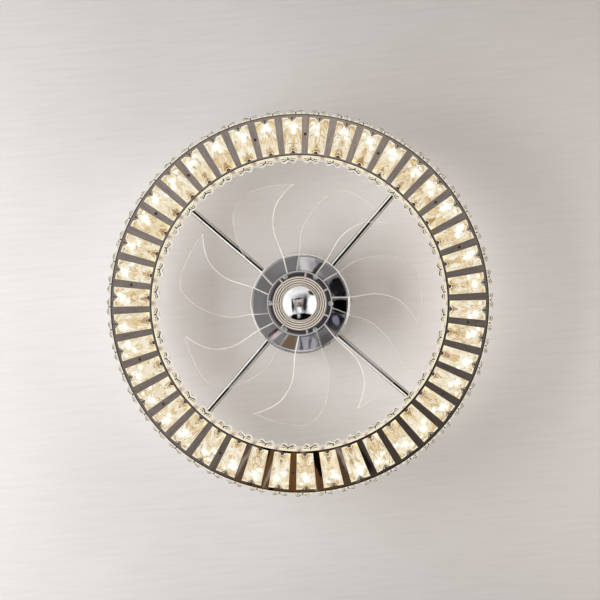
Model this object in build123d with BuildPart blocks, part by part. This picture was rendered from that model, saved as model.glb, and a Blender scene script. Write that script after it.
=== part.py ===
from build123d import *

import os
from math import cos, radians, sin, sqrt, tan

# A flush crystal ceiling fan. Millimetres, +Z up. The origin is on the ceiling, on the motor's axis,
# so everything hangs below Z = 0. The arms point at 45 degrees between +X and +Y.

os.makedirs("parts", exist_ok=True)

# Clearances

cut_over = 2.0  # how far every cutting tool runs past the face that it cuts
loose_gap = 0.1  # between pieces that are slipped together
fit_gap = 0.05  # radial gap of close fits and running fits
seat_gap = 0.3  # between a curved piece and the wall that it lies along
chamfer_share = 1 / 3  # of the height of a screw head or the corner of a case

# Ring of crystals

overall_diameter = 500.0  # across the crystals on the outer wall
crystal_stand_out = 7.0
ring_band_width = 53.0
ring_height = 76.0
ring_sheet = 1.0

bottom_window_count = 42
bottom_window_length = 45.9
bottom_window_inner_margin = 2.7
bottom_window_angle = 6.18  # degrees that each window takes of its pitch
bottom_window_start = -2.0  # degrees

outer_window_count = 52
outer_window_bar = 3.54  # steel left between two windows
outer_window_start = 3.46

inner_window_count = 40
inner_window_bar = 6.51
inner_window_start = 0.0

wall_window_height = 46.0
wall_window_bottom_margin = 4.5

tongue_length = 3.4
tongue_half_width = 2.6

tongue_clearance = 0.5

crystal_clearance = 0.15
crystal_notch_depth = 4.0
crystal_notch_half_width = 3.5
crystal_lip = 0.7
crystal_lip_thickness = 2.0
crystal_edge_height = 1.5
crystal_groove_height = 4.0
crystal_shoulder_height = 5.4
crystal_end_bevel = 9.0
crystal_peak_share = 0.52  # of the way from the middle to the side
crystal_shoulder_share = 0.8

# Ring fasteners and light

ring_screw_count = 16
ring_screw_radial_share = 0.515
ring_screw_first_bar = 2.2
ring_screw_head_radius = 2.0
ring_screw_head_height = 1.2
ring_screw_radius = 1.2
ring_screw_length = 7.0
standoff_across_flats = 5.0

led_board_thickness = 1.5
led_board_outer_width = 16.0
led_board_outer_margin = 2.0  # to the outer wall
led_board_inner_width = 19.0
led_board_inner_margin = 3.0  # to the inner wall
led_size = 3.5
led_height = 1.2
led_outer_count = 88
led_inner_count = 76

# Arms

arm_count = 4
arm_start = 45.0
arm_radius = 4.0
arm_end_radius = 3.0
arm_bore_radius = 1.8
arm_above_canopy_floor = 13.0
arm_below_ring_top = 11.0
arm_nut_across_flats = 10.0
arm_nut_thickness = 4.0
arm_thread_past_nut = 1.5

# Canopy and its bracket

canopy_radius = 66.5
canopy_height = 111.5
canopy_wall = 1.2
canopy_corner_radius = 5.0
canopy_ceiling_gap = 0.5
canopy_boss_hole_radius = 16.0
canopy_screw_count = 4
canopy_screw_depth = 12.0
canopy_screw_radius = 2.0
canopy_screw_head_radius = 3.6
canopy_screw_head_height = 1.8
canopy_screw_length = 8.0

bracket_sheet = 2.0
bracket_tab_width = 16.0
bracket_tab_height = 20.0
bracket_slot_spacing = 80.0
bracket_slot_radius = 2.6
bracket_slot_length = 14.0
cable_hole_radius = 9.0
grommet_bore_radius = 5.5
grommet_lip = 2.0
grommet_lip_thickness = 1.6

# Motor

motor_radius = 44.5
motor_wall = 3.4
motor_flange_radius = 52.0
motor_flange_thickness = 6.0
motor_height = 48.8
motor_split_share = 0.55
motor_end_wall = 4.0
motor_boss_radius = 15.0
motor_boss_drop = 4.7
motor_bolt_count = 3
motor_bolt_circle_radius = 46.0
motor_bolt_lug_radius = 4.5
motor_bolt_start = 90.0
motor_bolt_radius = 2.0
motor_bolt_head_radius = 3.5
motor_bolt_head_height = 2.8
motor_nut_across_flats = 7.0
motor_nut_thickness = 3.2
motor_screw_count = 6
motor_screw_circle_radius = 40.0
motor_screw_start = 5.0
motor_screw_radius = 2.0
motor_screw_head_radius = 3.4
motor_screw_head_height = 2.2
motor_screw_length = 6.0

bearing_outer_radius = 11.0
bearing_width = 7.0
bearing_ring_thickness = 1.9
bearing_groove_share = 1 / 3
bearing_ball_count = 7
bearing_lip_radius = 5.5

shaft_radius = 4.0
shaft_chamfer = 0.8
shaft_thread_reach = 9.0
stator_length = 18.0
stator_yoke_thickness = 5.0
stator_bore_radius = 25.0
stator_tooth_count = 12
stator_tooth_width = 5.0
stator_tip_width = 9.0
stator_tip_thickness = 2.0
winding_thickness = 2.2
winding_overhang = 3.0
rotor_air_gap = 0.6
rotor_magnet_thickness = 4.4
spacer_wall = 2.5
drive_pin_radius = 1.5
drive_pin_length = 19.0

# Driver tray and what stands on it

tray_sheet = 1.5
tray_radius = 58.0
tray_notch_depth = 12.0
led_driver_length = 86.0
led_driver_width = 32.0
led_driver_height = 22.0
controller_length = 56.0
controller_width = 30.0
controller_height = 19.0
case_corner_radius = 3.0
case_ear_length = 7.0
case_ear_width = 9.0
case_ear_thickness = 2.0
case_gap_to_middle = 4.0
case_screw_radius = 1.4
case_screw_head_radius = 2.6
case_screw_head_height = 1.8
terminal_length = 30.0
terminal_width = 14.0
terminal_height = 11.0
terminal_pole_count = 3
terminal_pole_pitch = 9.0
terminal_hole_radius = 2.4
terminal_screw_radius = 2.0
terminal_screw_height = 3.0
lead_radius = 1.1
lead_bend_radius = 6.6

# Impeller

impeller_blade_count = 7
impeller_tip_gap = 24.0  # to the crystals on the inner wall
impeller_rim_radius = 42.4
impeller_rim_wall = 1.5
impeller_rim_height = 25.5
impeller_rim_drop = 5.5  # from the canopy's underside to the rim's top
impeller_disc_radius = 35.3
impeller_disc_thickness = 3.0
impeller_disc_above_rim_bottom = 1.9
impeller_cup_wall = 1.8
impeller_cup_height = 18.0
impeller_boss_radius = 10.0
impeller_rib_thickness = 2.0
impeller_rib_height = 16.0
impeller_rib_start = 28.7
impeller_ripple_count = 4
impeller_ripple_radius = 0.8
blade_thickness = 1.8
blade_rise_per_degree_share = 0.68 / 25.5  # of the rim's height, for each degree round the axis
blade_phase = 4.5  # degrees: turns the blade's own angles into the part's
# Each blade's outline: share of the way from the rim to the tip, and degrees round the axis, seen from below
leading_edge_shares = ((0, 10.2), (0.2, 7.1), (0.472, 7.3), (0.648, 4.5), (0.797, -0.2), (0.981, -9.8))
trailing_edge_shares = ((0, 43.7), (0.214, 38.6), (0.404, 37.6), (0.607, 32.6), (0.831, 25.7), (0.96, 20.0))
blade_tip_shares = ((0.96, 20.0), (0.997, 14.0), (0.992, 2.0), (0.981, -9.8))
blade_section_angles = (-14, -4, 6, 16, 26, 36, 48)
blade_section_shares = (-0.01, 0.214, 0.431, 0.634, 0.824, 1.04)
blade_middle_angle_shares = (27.0, 22.9, 22.0, 19.0, 12.0, 2.0)

nut_radius = 23.4
nut_skirt = 2.0
nut_dome_height = 11.0
nut_wall = 2.0
nut_boss_radius = 8.0
washer_radius = 9.0
washer_thickness = 1.0

# Places worked out from the sizes

ring_outer_radius = overall_diameter / 2 - crystal_stand_out
ring_inner_radius = ring_outer_radius - ring_band_width
outer_wall_inside_radius = ring_outer_radius - ring_sheet
inner_wall_outside_radius = ring_inner_radius + ring_sheet
canopy_top_z = -canopy_ceiling_gap
canopy_floor_z = canopy_top_z - canopy_height
canopy_inside_radius = canopy_radius - canopy_wall
canopy_inside_floor_z = canopy_floor_z + canopy_wall
arm_z = canopy_floor_z + arm_above_canopy_floor
ring_top_z = arm_z + arm_below_ring_top
ring_bottom_z = ring_top_z - ring_height
cover_underside_z = ring_top_z - ring_sheet
plate_top_z = ring_bottom_z + ring_sheet
wall_height = cover_underside_z - plate_top_z
wall_window_z = ring_bottom_z + wall_window_bottom_margin

bottom_window_pitch = 360 / bottom_window_count
bottom_window_radius = ring_inner_radius + bottom_window_inner_margin
outer_window_pitch = 360 / outer_window_count
outer_window_width = 2 * ring_outer_radius * sin(radians(outer_window_pitch / 2)) - outer_window_bar
inner_window_pitch = 360 / inner_window_count
inner_window_width = 2 * ring_inner_radius * sin(radians(inner_window_pitch / 2)) - inner_window_bar
led_board_outer_radius = outer_wall_inside_radius - led_board_outer_margin - led_board_outer_width / 2
led_board_inner_radius = inner_wall_outside_radius + led_board_inner_margin + led_board_inner_width / 2
ring_screw_circle_radius = ring_inner_radius + ring_screw_radial_share * ring_band_width

motor_top_z = canopy_inside_floor_z + motor_height
motor_split_z = canopy_inside_floor_z + motor_split_share * motor_height
motor_inside_radius = motor_radius - motor_wall
motor_floor_z = canopy_inside_floor_z + motor_flange_thickness
motor_ceiling_z = motor_top_z - motor_end_wall
front_boss_z = canopy_inside_floor_z - motor_boss_drop
front_bearing_z = front_boss_z + bearing_ring_thickness
rear_bearing_z = motor_ceiling_z - bearing_width
stator_z = (motor_floor_z + motor_ceiling_z - stator_length) / 2
motor_lead_radius = (motor_boss_radius + motor_inside_radius) / 2
lead_arm_angle = arm_start - 360 / arm_count
tray_top_z = motor_top_z + tray_sheet

impeller_rim_top_z = canopy_floor_z - impeller_rim_drop
impeller_rim_bottom_z = impeller_rim_top_z - impeller_rim_height
impeller_disc_z = impeller_rim_bottom_z + impeller_disc_above_rim_bottom
washer_z = impeller_disc_z - washer_thickness
drive_pin_z = impeller_rim_top_z - drive_pin_radius - fit_gap
shaft_top_z = motor_ceiling_z - loose_gap
shaft_bottom_z = washer_z - shaft_thread_reach


def finish(builder, label):
    """Names a finished piece and writes it to its own file."""
    builder.part.label = label
    export_step(builder.part, f"parts/{label}.step")


def ring_screw_angles():
    """Angles of the screws: every screw is on the bar that its even share of the circle falls on."""
    first_angle = bottom_window_start + bottom_window_pitch / 2
    bars_per_screw = bottom_window_count / ring_screw_count
    bars = [int(ring_screw_first_bar + bars_per_screw * number) for number in range(ring_screw_count)]
    return [first_angle - bottom_window_pitch * bar for bar in bars]


def on_circle(radius, angle):
    return (radius * cos(radians(angle)), radius * sin(radians(angle)))


# Windows and crystals. Both have the same plan: X along the window, from its near end to its far end,
# and Y across it. A steel tongue at each end of the window lies in a notch of the crystal.


def notched_plan(near_width, far_width, length, notch_half_width, notch_depth, rounded_near_end=False):
    with BuildSketch() as plan:
        with BuildLine():
            Polyline(
                (0, notch_half_width),
                (0, near_width / 2),
                (length, far_width / 2),
                (length, notch_half_width),
                (length - notch_depth, 0),
                (length, -notch_half_width),
                (length, -far_width / 2),
                (0, -near_width / 2),
                (0, -notch_half_width),
            )
            if rounded_near_end:
                ThreePointArc((0, -notch_half_width), (notch_depth, 0), (0, notch_half_width))
            else:
                Polyline((0, -notch_half_width), (notch_depth, 0), (0, notch_half_width))
        make_face()
    return plan.sketch


def crystal(near_width, far_width, length, rounded_near_notch=False):
    """One crystal in its window: Z = 0 is the outer face of the steel, and +Z points out of it."""
    back_z = -ring_sheet - crystal_lip_thickness
    with BuildPart() as body:
        for place, width in ((0, near_width), (length, far_width)):
            half = width / 2
            peak = half * crystal_peak_share
            shoulder = half * crystal_shoulder_share
            with BuildSketch(Plane.YZ.offset(place)):
                with BuildLine():
                    Polyline(
                        (-half, back_z),
                        (half, back_z),
                        (half, crystal_edge_height),
                        (shoulder, crystal_shoulder_height),
                        (peak, crystal_stand_out),
                        (0, crystal_groove_height),
                        (-peak, crystal_stand_out),
                        (-shoulder, crystal_shoulder_height),
                        (-half, crystal_edge_height),
                        close=True,
                    )
                make_face()
        loft(ruled=True)
        with BuildSketch(Plane.XY.offset(back_z)):
            with BuildLine():
                Polyline(
                    (-crystal_lip, near_width / 2 + crystal_lip),
                    (length + crystal_lip, far_width / 2 + crystal_lip),
                    (length + crystal_lip, -far_width / 2 - crystal_lip),
                    (-crystal_lip, -near_width / 2 - crystal_lip),
                    close=True,
                )
            make_face()
        extrude(amount=crystal_lip_thickness)
        rise = crystal_stand_out - crystal_edge_height
        for end, inward in ((0, 1), (length, -1)):
            with BuildSketch(Plane.XZ):
                with BuildLine():
                    Polyline(
                        (end, crystal_edge_height),
                        (end + inward * crystal_end_bevel, crystal_stand_out),
                        (end + inward * crystal_end_bevel, crystal_stand_out + rise),
                        (end - inward * crystal_end_bevel, crystal_stand_out + rise),
                        (end - inward * crystal_end_bevel, crystal_edge_height - rise),
                        close=True,
                    )
                make_face()
            extrude(amount=far_width, both=True, mode=Mode.SUBTRACT)
            slope = crystal_notch_depth / crystal_notch_half_width
            outside = crystal_lip + cut_over
            half_outside = crystal_notch_half_width + outside / slope
            with BuildSketch(Plane.XY.offset(back_z - cut_over)):
                if rounded_near_notch and end == 0:
                    round_depth = tongue_length + tongue_clearance
                    round_half_width = tongue_half_width + tongue_clearance
                    round_radius = (round_half_width**2 + round_depth**2) / (2 * round_depth)
                    with Locations((round_depth - round_radius, 0)):
                        Circle(round_radius)
                else:
                    with BuildLine():
                        Polyline(
                            (end + inward * crystal_notch_depth, 0),
                            (end - inward * outside, half_outside),
                            (end - inward * outside, -half_outside),
                            close=True,
                        )
                    make_face()
            extrude(amount=crystal_stand_out - back_z + 2 * cut_over, mode=Mode.SUBTRACT)
    return body.part


bottom_near_width = 2 * bottom_window_radius * tan(radians(bottom_window_angle / 2))
bottom_far_radius = bottom_window_radius + bottom_window_length
bottom_far_width = 2 * bottom_far_radius * tan(radians(bottom_window_angle / 2))
bottom_window = Pos(bottom_window_radius, 0, 0) * notched_plan(
    bottom_near_width, bottom_far_width, bottom_window_length, tongue_half_width, tongue_length, True
)

with BuildPart() as ring_bottom_plate:
    with BuildSketch(Plane.XY.offset(ring_bottom_z)):
        Circle(ring_outer_radius)
        Circle(ring_inner_radius, mode=Mode.SUBTRACT)
        with PolarLocations(0, bottom_window_count, bottom_window_start):
            add(bottom_window, mode=Mode.SUBTRACT)
        with Locations([on_circle(ring_screw_circle_radius, angle) for angle in ring_screw_angles()]):
            Circle(ring_screw_radius + loose_gap, mode=Mode.SUBTRACT)
    extrude(amount=ring_sheet)
finish(ring_bottom_plate, "ring_bottom_plate")


def ring_wall(inside_radius, window_count, window_width, window_start, arm_holes):
    """A wall of the ring with its windows; the inner wall has the arms' holes as well."""
    outside_radius = inside_radius + ring_sheet
    window = notched_plan(
        window_width, window_width, wall_window_height, tongue_half_width, tongue_length
    )
    upright = Plane(origin=(inside_radius - cut_over, 0, wall_window_z), x_dir=(0, 0, 1), z_dir=(1, 0, 0))
    with BuildPart() as cutter:
        with BuildSketch(upright):
            add(window)
        extrude(amount=ring_sheet + 2 * cut_over)
    with BuildPart() as wall:
        with BuildSketch(Plane.XY.offset(plate_top_z)):
            Circle(outside_radius)
            Circle(inside_radius, mode=Mode.SUBTRACT)
        extrude(amount=wall_height)
        if arm_holes:
            for number in range(arm_count):
                with BuildSketch(arm_plane(number, inside_radius - cut_over)):
                    Circle(arm_end_radius + fit_gap)
                extrude(amount=ring_sheet + 2 * cut_over, mode=Mode.SUBTRACT)
        with PolarLocations(0, window_count, window_start):
            add(cutter.part, mode=Mode.SUBTRACT)
    return wall


def arm_plane(number, radius):
    """The plane across arm `number` at this distance from the axis, facing outwards."""
    angle = arm_start + number * 360 / arm_count
    x, y = on_circle(radius, angle)
    return Plane(
        origin=(x, y, arm_z),
        x_dir=(-sin(radians(angle)), cos(radians(angle)), 0),
        z_dir=(cos(radians(angle)), sin(radians(angle)), 0),
    )


def wall_halves(wall, seam_angle):
    """Each wall is rolled from two strips, whose ends meet on the bars at this angle and opposite it."""
    angle = radians(seam_angle)
    seam = Plane(origin=(0, 0, 0), x_dir=(cos(angle), sin(angle), 0), z_dir=(-sin(angle), cos(angle), 0))
    halves = []
    for side in (Keep.TOP, Keep.BOTTOM):
        with BuildPart() as half:
            add(wall.part)
            split(bisect_by=seam, keep=side)
        halves.append(half)
    return halves


ring_outer_wall = ring_wall(
    outer_wall_inside_radius, outer_window_count, outer_window_width, outer_window_start, False
)
ring_inner_wall = ring_wall(
    ring_inner_radius, inner_window_count, inner_window_width, inner_window_start, True
)
for wall_name, wall, seam_angle in (
    ("ring_outer_wall", ring_outer_wall, outer_window_start - outer_window_pitch / 2),
    ("ring_inner_wall", ring_inner_wall, inner_window_start - inner_window_pitch / 2),
):
    for number, half in enumerate(wall_halves(wall, seam_angle)):
        finish(half, f"{wall_name}_{number + 1}")

with BuildPart() as ring_top_cover:
    with BuildSketch(Plane.XY.offset(cover_underside_z)):
        Circle(ring_outer_radius)
        Circle(ring_inner_radius, mode=Mode.SUBTRACT)
        with Locations([on_circle(ring_screw_circle_radius, angle) for angle in ring_screw_angles()]):
            Circle(ring_screw_radius + loose_gap, mode=Mode.SUBTRACT)
    extrude(amount=ring_sheet)
finish(ring_top_cover, "ring_top_cover")


def crystal_group(piece, frame, count, start):
    """Copies of one crystal round the ring. The frame's X runs along the window and its Z points out."""
    placed = piece.moved(frame.location)
    with BuildPart() as group:
        with PolarLocations(0, count, start):
            add(placed)
    return group


bottom_crystal = crystal(
    bottom_near_width - 2 * crystal_clearance,
    bottom_far_width - 2 * crystal_clearance,
    bottom_window_length - 2 * crystal_clearance,
    rounded_near_notch=True,
)
bottom_frame = Plane(
    origin=(bottom_window_radius + crystal_clearance, 0, ring_bottom_z), x_dir=(1, 0, 0), z_dir=(0, 0, -1)
)
bottom_crystals = crystal_group(bottom_crystal, bottom_frame, bottom_window_count, bottom_window_start)
finish(bottom_crystals, "bottom_crystals")

# A flat crystal in a curved wall: its lip clears the wall at its edges (outer) or in its middle (inner).
crystal_height = wall_window_height - 2 * crystal_clearance
outer_lip_half_width = outer_window_width / 2 + crystal_lip
outer_lip_face = sqrt(outer_wall_inside_radius**2 - outer_lip_half_width**2) - fit_gap
outer_crystal_width = outer_window_width - 2 * crystal_clearance
outer_crystal = crystal(outer_crystal_width, outer_crystal_width, crystal_height)
outer_frame = Plane(
    origin=(outer_lip_face + ring_sheet, 0, wall_window_z + crystal_clearance),
    x_dir=(0, 0, 1),
    z_dir=(1, 0, 0),
)
outer_crystals = crystal_group(outer_crystal, outer_frame, outer_window_count, outer_window_start)
finish(outer_crystals, "outer_crystals")

inner_crystal_width = inner_window_width - 2 * crystal_clearance
inner_crystal = crystal(inner_crystal_width, inner_crystal_width, crystal_height)
inner_frame = Plane(
    origin=(ring_inner_radius + fit_gap, 0, wall_window_z + crystal_clearance),
    x_dir=(0, 0, 1),
    z_dir=(-1, 0, 0),
)
inner_crystals = crystal_group(inner_crystal, inner_frame, inner_window_count, inner_window_start)
finish(inner_crystals, "inner_crystals")

# Fasteners of the ring


def screws(places, seat_z, direction, head_radius, head_height, shank_radius, length, corner=0):
    """Screws whose heads sit on seat_z; direction is -1 for heads below the seat, and 1 for above."""
    with BuildPart() as group:
        with BuildSketch(Plane.XY.offset(seat_z)):
            with Locations(places):
                Circle(head_radius)
        extrude(amount=direction * head_height)
        if corner:
            rims = group.edges().filter_by(GeomType.CIRCLE).group_by(Axis.Z)
            chamfer(rims[0] if direction < 0 else rims[-1], corner)
        with BuildSketch(Plane.XY.offset(seat_z)):
            with Locations(places):
                Circle(shank_radius)
        extrude(amount=-direction * length)
    return group


ring_screw_places = [on_circle(ring_screw_circle_radius, angle) for angle in ring_screw_angles()]
ring_bottom_screws = screws(
    ring_screw_places, ring_bottom_z, -1, ring_screw_head_radius, ring_screw_head_height,
    ring_screw_radius, ring_screw_length, chamfer_share * ring_screw_head_height,
)
finish(ring_bottom_screws, "ring_bottom_screws")
ring_top_screws = screws(
    ring_screw_places, ring_top_z, 1, ring_screw_head_radius, ring_screw_head_height,
    ring_screw_radius, ring_screw_length, chamfer_share * ring_screw_head_height,
)
finish(ring_top_screws, "ring_top_screws")

with BuildPart() as ring_standoffs:
    with BuildSketch(Plane.XY.offset(plate_top_z)):
        with Locations(ring_screw_places):
            RegularPolygon(standoff_across_flats / 2, 6, major_radius=False)
            Circle(ring_screw_radius + fit_gap, mode=Mode.SUBTRACT)
    extrude(amount=wall_height)
finish(ring_standoffs, "ring_standoffs")

# Light boards and diodes


def led_board(radius, width):
    with BuildPart() as board:
        with BuildSketch(Plane.XY.offset(cover_underside_z)):
            Circle(radius + width / 2)
            Circle(radius - width / 2, mode=Mode.SUBTRACT)
        extrude(amount=-led_board_thickness)
    return board


def led_chips(radius, count):
    with BuildPart() as chips:
        with BuildSketch(Plane.XY.offset(cover_underside_z - led_board_thickness)):
            with PolarLocations(radius, count):
                Rectangle(led_size, led_size)
        extrude(amount=-led_height)
    return chips


for board_name, board_radius, board_width, chip_count in (
    ("outer", led_board_outer_radius, led_board_outer_width, led_outer_count),
    ("inner", led_board_inner_radius, led_board_inner_width, led_inner_count),
):
    finish(led_board(board_radius, board_width), f"led_board_{board_name}")
    finish(led_chips(board_radius, chip_count), f"led_chips_{board_name}")

# Arms: tubes with a thinner threaded end through each wall, and a nut on each end

arm_inner_nut_radius = canopy_inside_radius - arm_nut_thickness - seat_gap
arm_start_radius = arm_inner_nut_radius - arm_thread_past_nut
arm_outer_nut_radius = inner_wall_outside_radius + seat_gap
arm_end_reach = arm_outer_nut_radius + arm_nut_thickness + arm_thread_past_nut
arm_shoulder_start = canopy_radius + fit_gap
arm_shoulder_end = ring_inner_radius - fit_gap

for number in range(arm_count):
    with BuildPart() as arm:
        with BuildSketch(arm_plane(number, arm_start_radius)):
            Circle(arm_end_radius)
        extrude(amount=arm_end_reach - arm_start_radius)
        with BuildSketch(arm_plane(number, arm_shoulder_start)):
            Circle(arm_radius)
        extrude(amount=arm_shoulder_end - arm_shoulder_start)
        with BuildSketch(arm_plane(number, arm_start_radius - cut_over)):
            Circle(arm_bore_radius)
        extrude(amount=arm_end_reach - arm_start_radius + 2 * cut_over, mode=Mode.SUBTRACT)
    finish(arm, f"arm_{number + 1}")


def arm_nuts(radius):
    """The four hexagon nuts whose inner faces are at this distance from the axis."""
    with BuildPart() as nuts:
        for number in range(arm_count):
            with BuildSketch(arm_plane(number, radius)):
                RegularPolygon(arm_nut_across_flats / 2, 6, major_radius=False)
                Circle(arm_end_radius + fit_gap, mode=Mode.SUBTRACT)
            extrude(amount=arm_nut_thickness)
    return nuts


finish(arm_nuts(arm_inner_nut_radius), "arm_canopy_nuts")
finish(arm_nuts(arm_outer_nut_radius), "arm_ring_nuts")

# Canopy

motor_screw_places = [
    on_circle(motor_screw_circle_radius, motor_screw_start + number * 360 / motor_screw_count)
    for number in range(motor_screw_count)
]
side_screw_z = canopy_top_z - canopy_screw_depth


def side_plane(number, radius):
    """The plane across side screw `number` at this distance from the axis, facing outwards."""
    angle = number * 360 / canopy_screw_count
    x, y = on_circle(radius, angle)
    return Plane(
        origin=(x, y, side_screw_z),
        x_dir=(-sin(radians(angle)), cos(radians(angle)), 0),
        z_dir=(cos(radians(angle)), sin(radians(angle)), 0),
    )


with BuildPart() as canopy:
    with BuildSketch(Plane.XY.offset(canopy_floor_z)):
        Circle(canopy_radius)
    extrude(amount=canopy_height)
    fillet(canopy.edges().group_by(Axis.Z)[0], canopy_corner_radius)
    offset(amount=-canopy_wall, openings=canopy.faces().sort_by(Axis.Z)[-1])
    with BuildSketch(Plane.XY.offset(canopy_floor_z - cut_over)):
        Circle(canopy_boss_hole_radius)
        with Locations(motor_screw_places):
            Circle(motor_screw_radius + loose_gap)
    extrude(amount=canopy_wall + 2 * cut_over, mode=Mode.SUBTRACT)
    for number in range(arm_count):
        with BuildSketch(arm_plane(number, canopy_radius - canopy_wall - cut_over)):
            Circle(arm_end_radius + fit_gap)
        extrude(amount=canopy_wall + 2 * cut_over, mode=Mode.SUBTRACT)
    for number in range(canopy_screw_count):
        with BuildSketch(side_plane(number, canopy_radius - canopy_wall - cut_over)):
            Circle(canopy_screw_radius + loose_gap)
        extrude(amount=canopy_wall + 2 * cut_over, mode=Mode.SUBTRACT)
finish(canopy, "canopy")

with BuildPart() as canopy_side_screws:
    for number in range(canopy_screw_count):
        with BuildSketch(side_plane(number, canopy_radius + fit_gap)):
            Circle(canopy_screw_head_radius)
        extrude(amount=canopy_screw_head_height)
        with BuildSketch(side_plane(number, canopy_radius + fit_gap)):
            Circle(canopy_screw_radius)
        extrude(amount=-canopy_screw_length)
finish(canopy_side_screws, "canopy_side_screws")

# Ceiling bracket

bracket_radius = canopy_inside_radius - seat_gap
with BuildPart() as ceiling_bracket:
    with BuildSketch(Plane.XY.offset(-bracket_sheet)):
        Circle(bracket_radius)
        Circle(cable_hole_radius, mode=Mode.SUBTRACT)
        with Locations((-bracket_slot_spacing / 2, 0), (bracket_slot_spacing / 2, 0)):
            SlotOverall(bracket_slot_length, 2 * bracket_slot_radius, mode=Mode.SUBTRACT)
    extrude(amount=bracket_sheet)
    with BuildSketch(Plane.XY.offset(-bracket_sheet - bracket_tab_height)):
        with PolarLocations(bracket_radius, canopy_screw_count):
            Rectangle(2 * bracket_tab_width, bracket_tab_width)
        Circle(bracket_radius, mode=Mode.INTERSECT)
        Circle(bracket_radius - bracket_sheet, mode=Mode.SUBTRACT)
    extrude(amount=bracket_tab_height)
    for number in range(canopy_screw_count):
        with BuildSketch(side_plane(number, bracket_radius - bracket_sheet - cut_over)):
            Circle(canopy_screw_radius + fit_gap)
        extrude(amount=bracket_sheet + 2 * cut_over, mode=Mode.SUBTRACT)
finish(ceiling_bracket, "ceiling_bracket")

with BuildPart() as cable_grommet:
    with BuildSketch(Plane.XZ):
        with BuildLine():
            Polyline(
                (grommet_bore_radius, 0),
                (cable_hole_radius - loose_gap, 0),
                (cable_hole_radius - loose_gap, -bracket_sheet),
                (cable_hole_radius + grommet_lip, -bracket_sheet),
                (cable_hole_radius + grommet_lip, -bracket_sheet - grommet_lip_thickness),
                (grommet_bore_radius, -bracket_sheet - grommet_lip_thickness),
                close=True,
            )
        make_face()
    revolve(axis=Axis.Z)
finish(cable_grommet, "cable_grommet")

# Motor housings

motor_bolt_places = [
    on_circle(motor_bolt_circle_radius, motor_bolt_start + number * 360 / motor_bolt_count)
    for number in range(motor_bolt_count)
]


def barrel_plan(bottom_z):
    """The plan of a housing half's barrel with its bolt lugs; the lugs' holes are cut later."""
    with BuildSketch(Plane.XY.offset(bottom_z)) as plan:
        Circle(motor_radius)
        with Locations(motor_bolt_places):
            Circle(motor_bolt_lug_radius)
        Circle(motor_inside_radius, mode=Mode.SUBTRACT)
    return plan.sketch


bearing_seat_radius = bearing_outer_radius + fit_gap
with BuildPart() as motor_front_housing:
    with BuildSketch(Plane.XY.offset(canopy_inside_floor_z)):
        Circle(motor_flange_radius)
    extrude(amount=motor_flange_thickness)
    extrude(barrel_plan(motor_floor_z), amount=motor_split_z - motor_floor_z)
    with BuildSketch(Plane.XY.offset(front_boss_z)):
        Circle(motor_boss_radius)
    extrude(amount=motor_floor_z - front_boss_z)
    with BuildSketch(Plane.XY.offset(front_bearing_z)):
        Circle(bearing_seat_radius)
    extrude(amount=motor_floor_z - front_bearing_z, mode=Mode.SUBTRACT)
    with BuildSketch(Plane.XY.offset(front_boss_z)):
        Circle(bearing_lip_radius)
    extrude(amount=bearing_width, mode=Mode.SUBTRACT)
    with BuildSketch(Plane.XY.offset(canopy_inside_floor_z)):
        with Locations(motor_bolt_places):
            Circle(motor_bolt_head_radius + loose_gap)
    extrude(amount=motor_bolt_head_height + loose_gap, mode=Mode.SUBTRACT)
    with BuildSketch(Plane.XY.offset(canopy_inside_floor_z)):
        with Locations(motor_bolt_places):
            Circle(motor_bolt_radius + loose_gap)
    extrude(amount=motor_height, mode=Mode.SUBTRACT)
    with BuildSketch(Plane.XY.offset(canopy_inside_floor_z)):
        with Locations(motor_screw_places):
            Circle(motor_screw_radius + fit_gap)
    extrude(amount=motor_screw_length - canopy_wall + loose_gap, mode=Mode.SUBTRACT)
finish(motor_front_housing, "motor_front_housing")

with BuildPart() as motor_rear_housing:
    extrude(barrel_plan(motor_split_z), amount=motor_top_z - motor_split_z)
    with BuildSketch(Plane.XY.offset(motor_ceiling_z)):
        Circle(motor_inside_radius)
    extrude(amount=motor_end_wall)
    with BuildSketch(Plane.XY.offset(rear_bearing_z)):
        Circle(motor_boss_radius)
        Circle(bearing_seat_radius, mode=Mode.SUBTRACT)
    extrude(amount=bearing_width)
    with BuildSketch(Plane.XY.offset(motor_split_z)):
        with Locations(motor_bolt_places):
            Circle(motor_bolt_radius + loose_gap)
    extrude(amount=motor_height, mode=Mode.SUBTRACT)
    with BuildSketch(Plane.XY.offset(motor_ceiling_z)):
        with Locations((0, -motor_lead_radius)):
            Circle(2 * lead_radius)
    extrude(amount=motor_end_wall, mode=Mode.SUBTRACT)
finish(motor_rear_housing, "motor_rear_housing")

motor_through_bolts = screws(
    motor_bolt_places, canopy_inside_floor_z + motor_bolt_head_height, -1, motor_bolt_head_radius,
    motor_bolt_head_height, motor_bolt_radius,
    motor_height - motor_bolt_head_height + tray_sheet + motor_nut_thickness + motor_bolt_radius,
)
finish(motor_through_bolts, "motor_through_bolts")

with BuildPart() as motor_bolt_nuts:
    with BuildSketch(Plane.XY.offset(tray_top_z)):
        with Locations(motor_bolt_places):
            RegularPolygon(motor_nut_across_flats / 2, 6, major_radius=False)
            Circle(motor_bolt_radius + fit_gap, mode=Mode.SUBTRACT)
    extrude(amount=motor_nut_thickness)
finish(motor_bolt_nuts, "motor_bolt_nuts")

motor_screws = screws(
    motor_screw_places, canopy_floor_z, -1, motor_screw_head_radius, motor_screw_head_height,
    motor_screw_radius, motor_screw_length, chamfer_share * motor_screw_head_height,
)
finish(motor_screws, "motor_screws")

# Stator and windings

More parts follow.
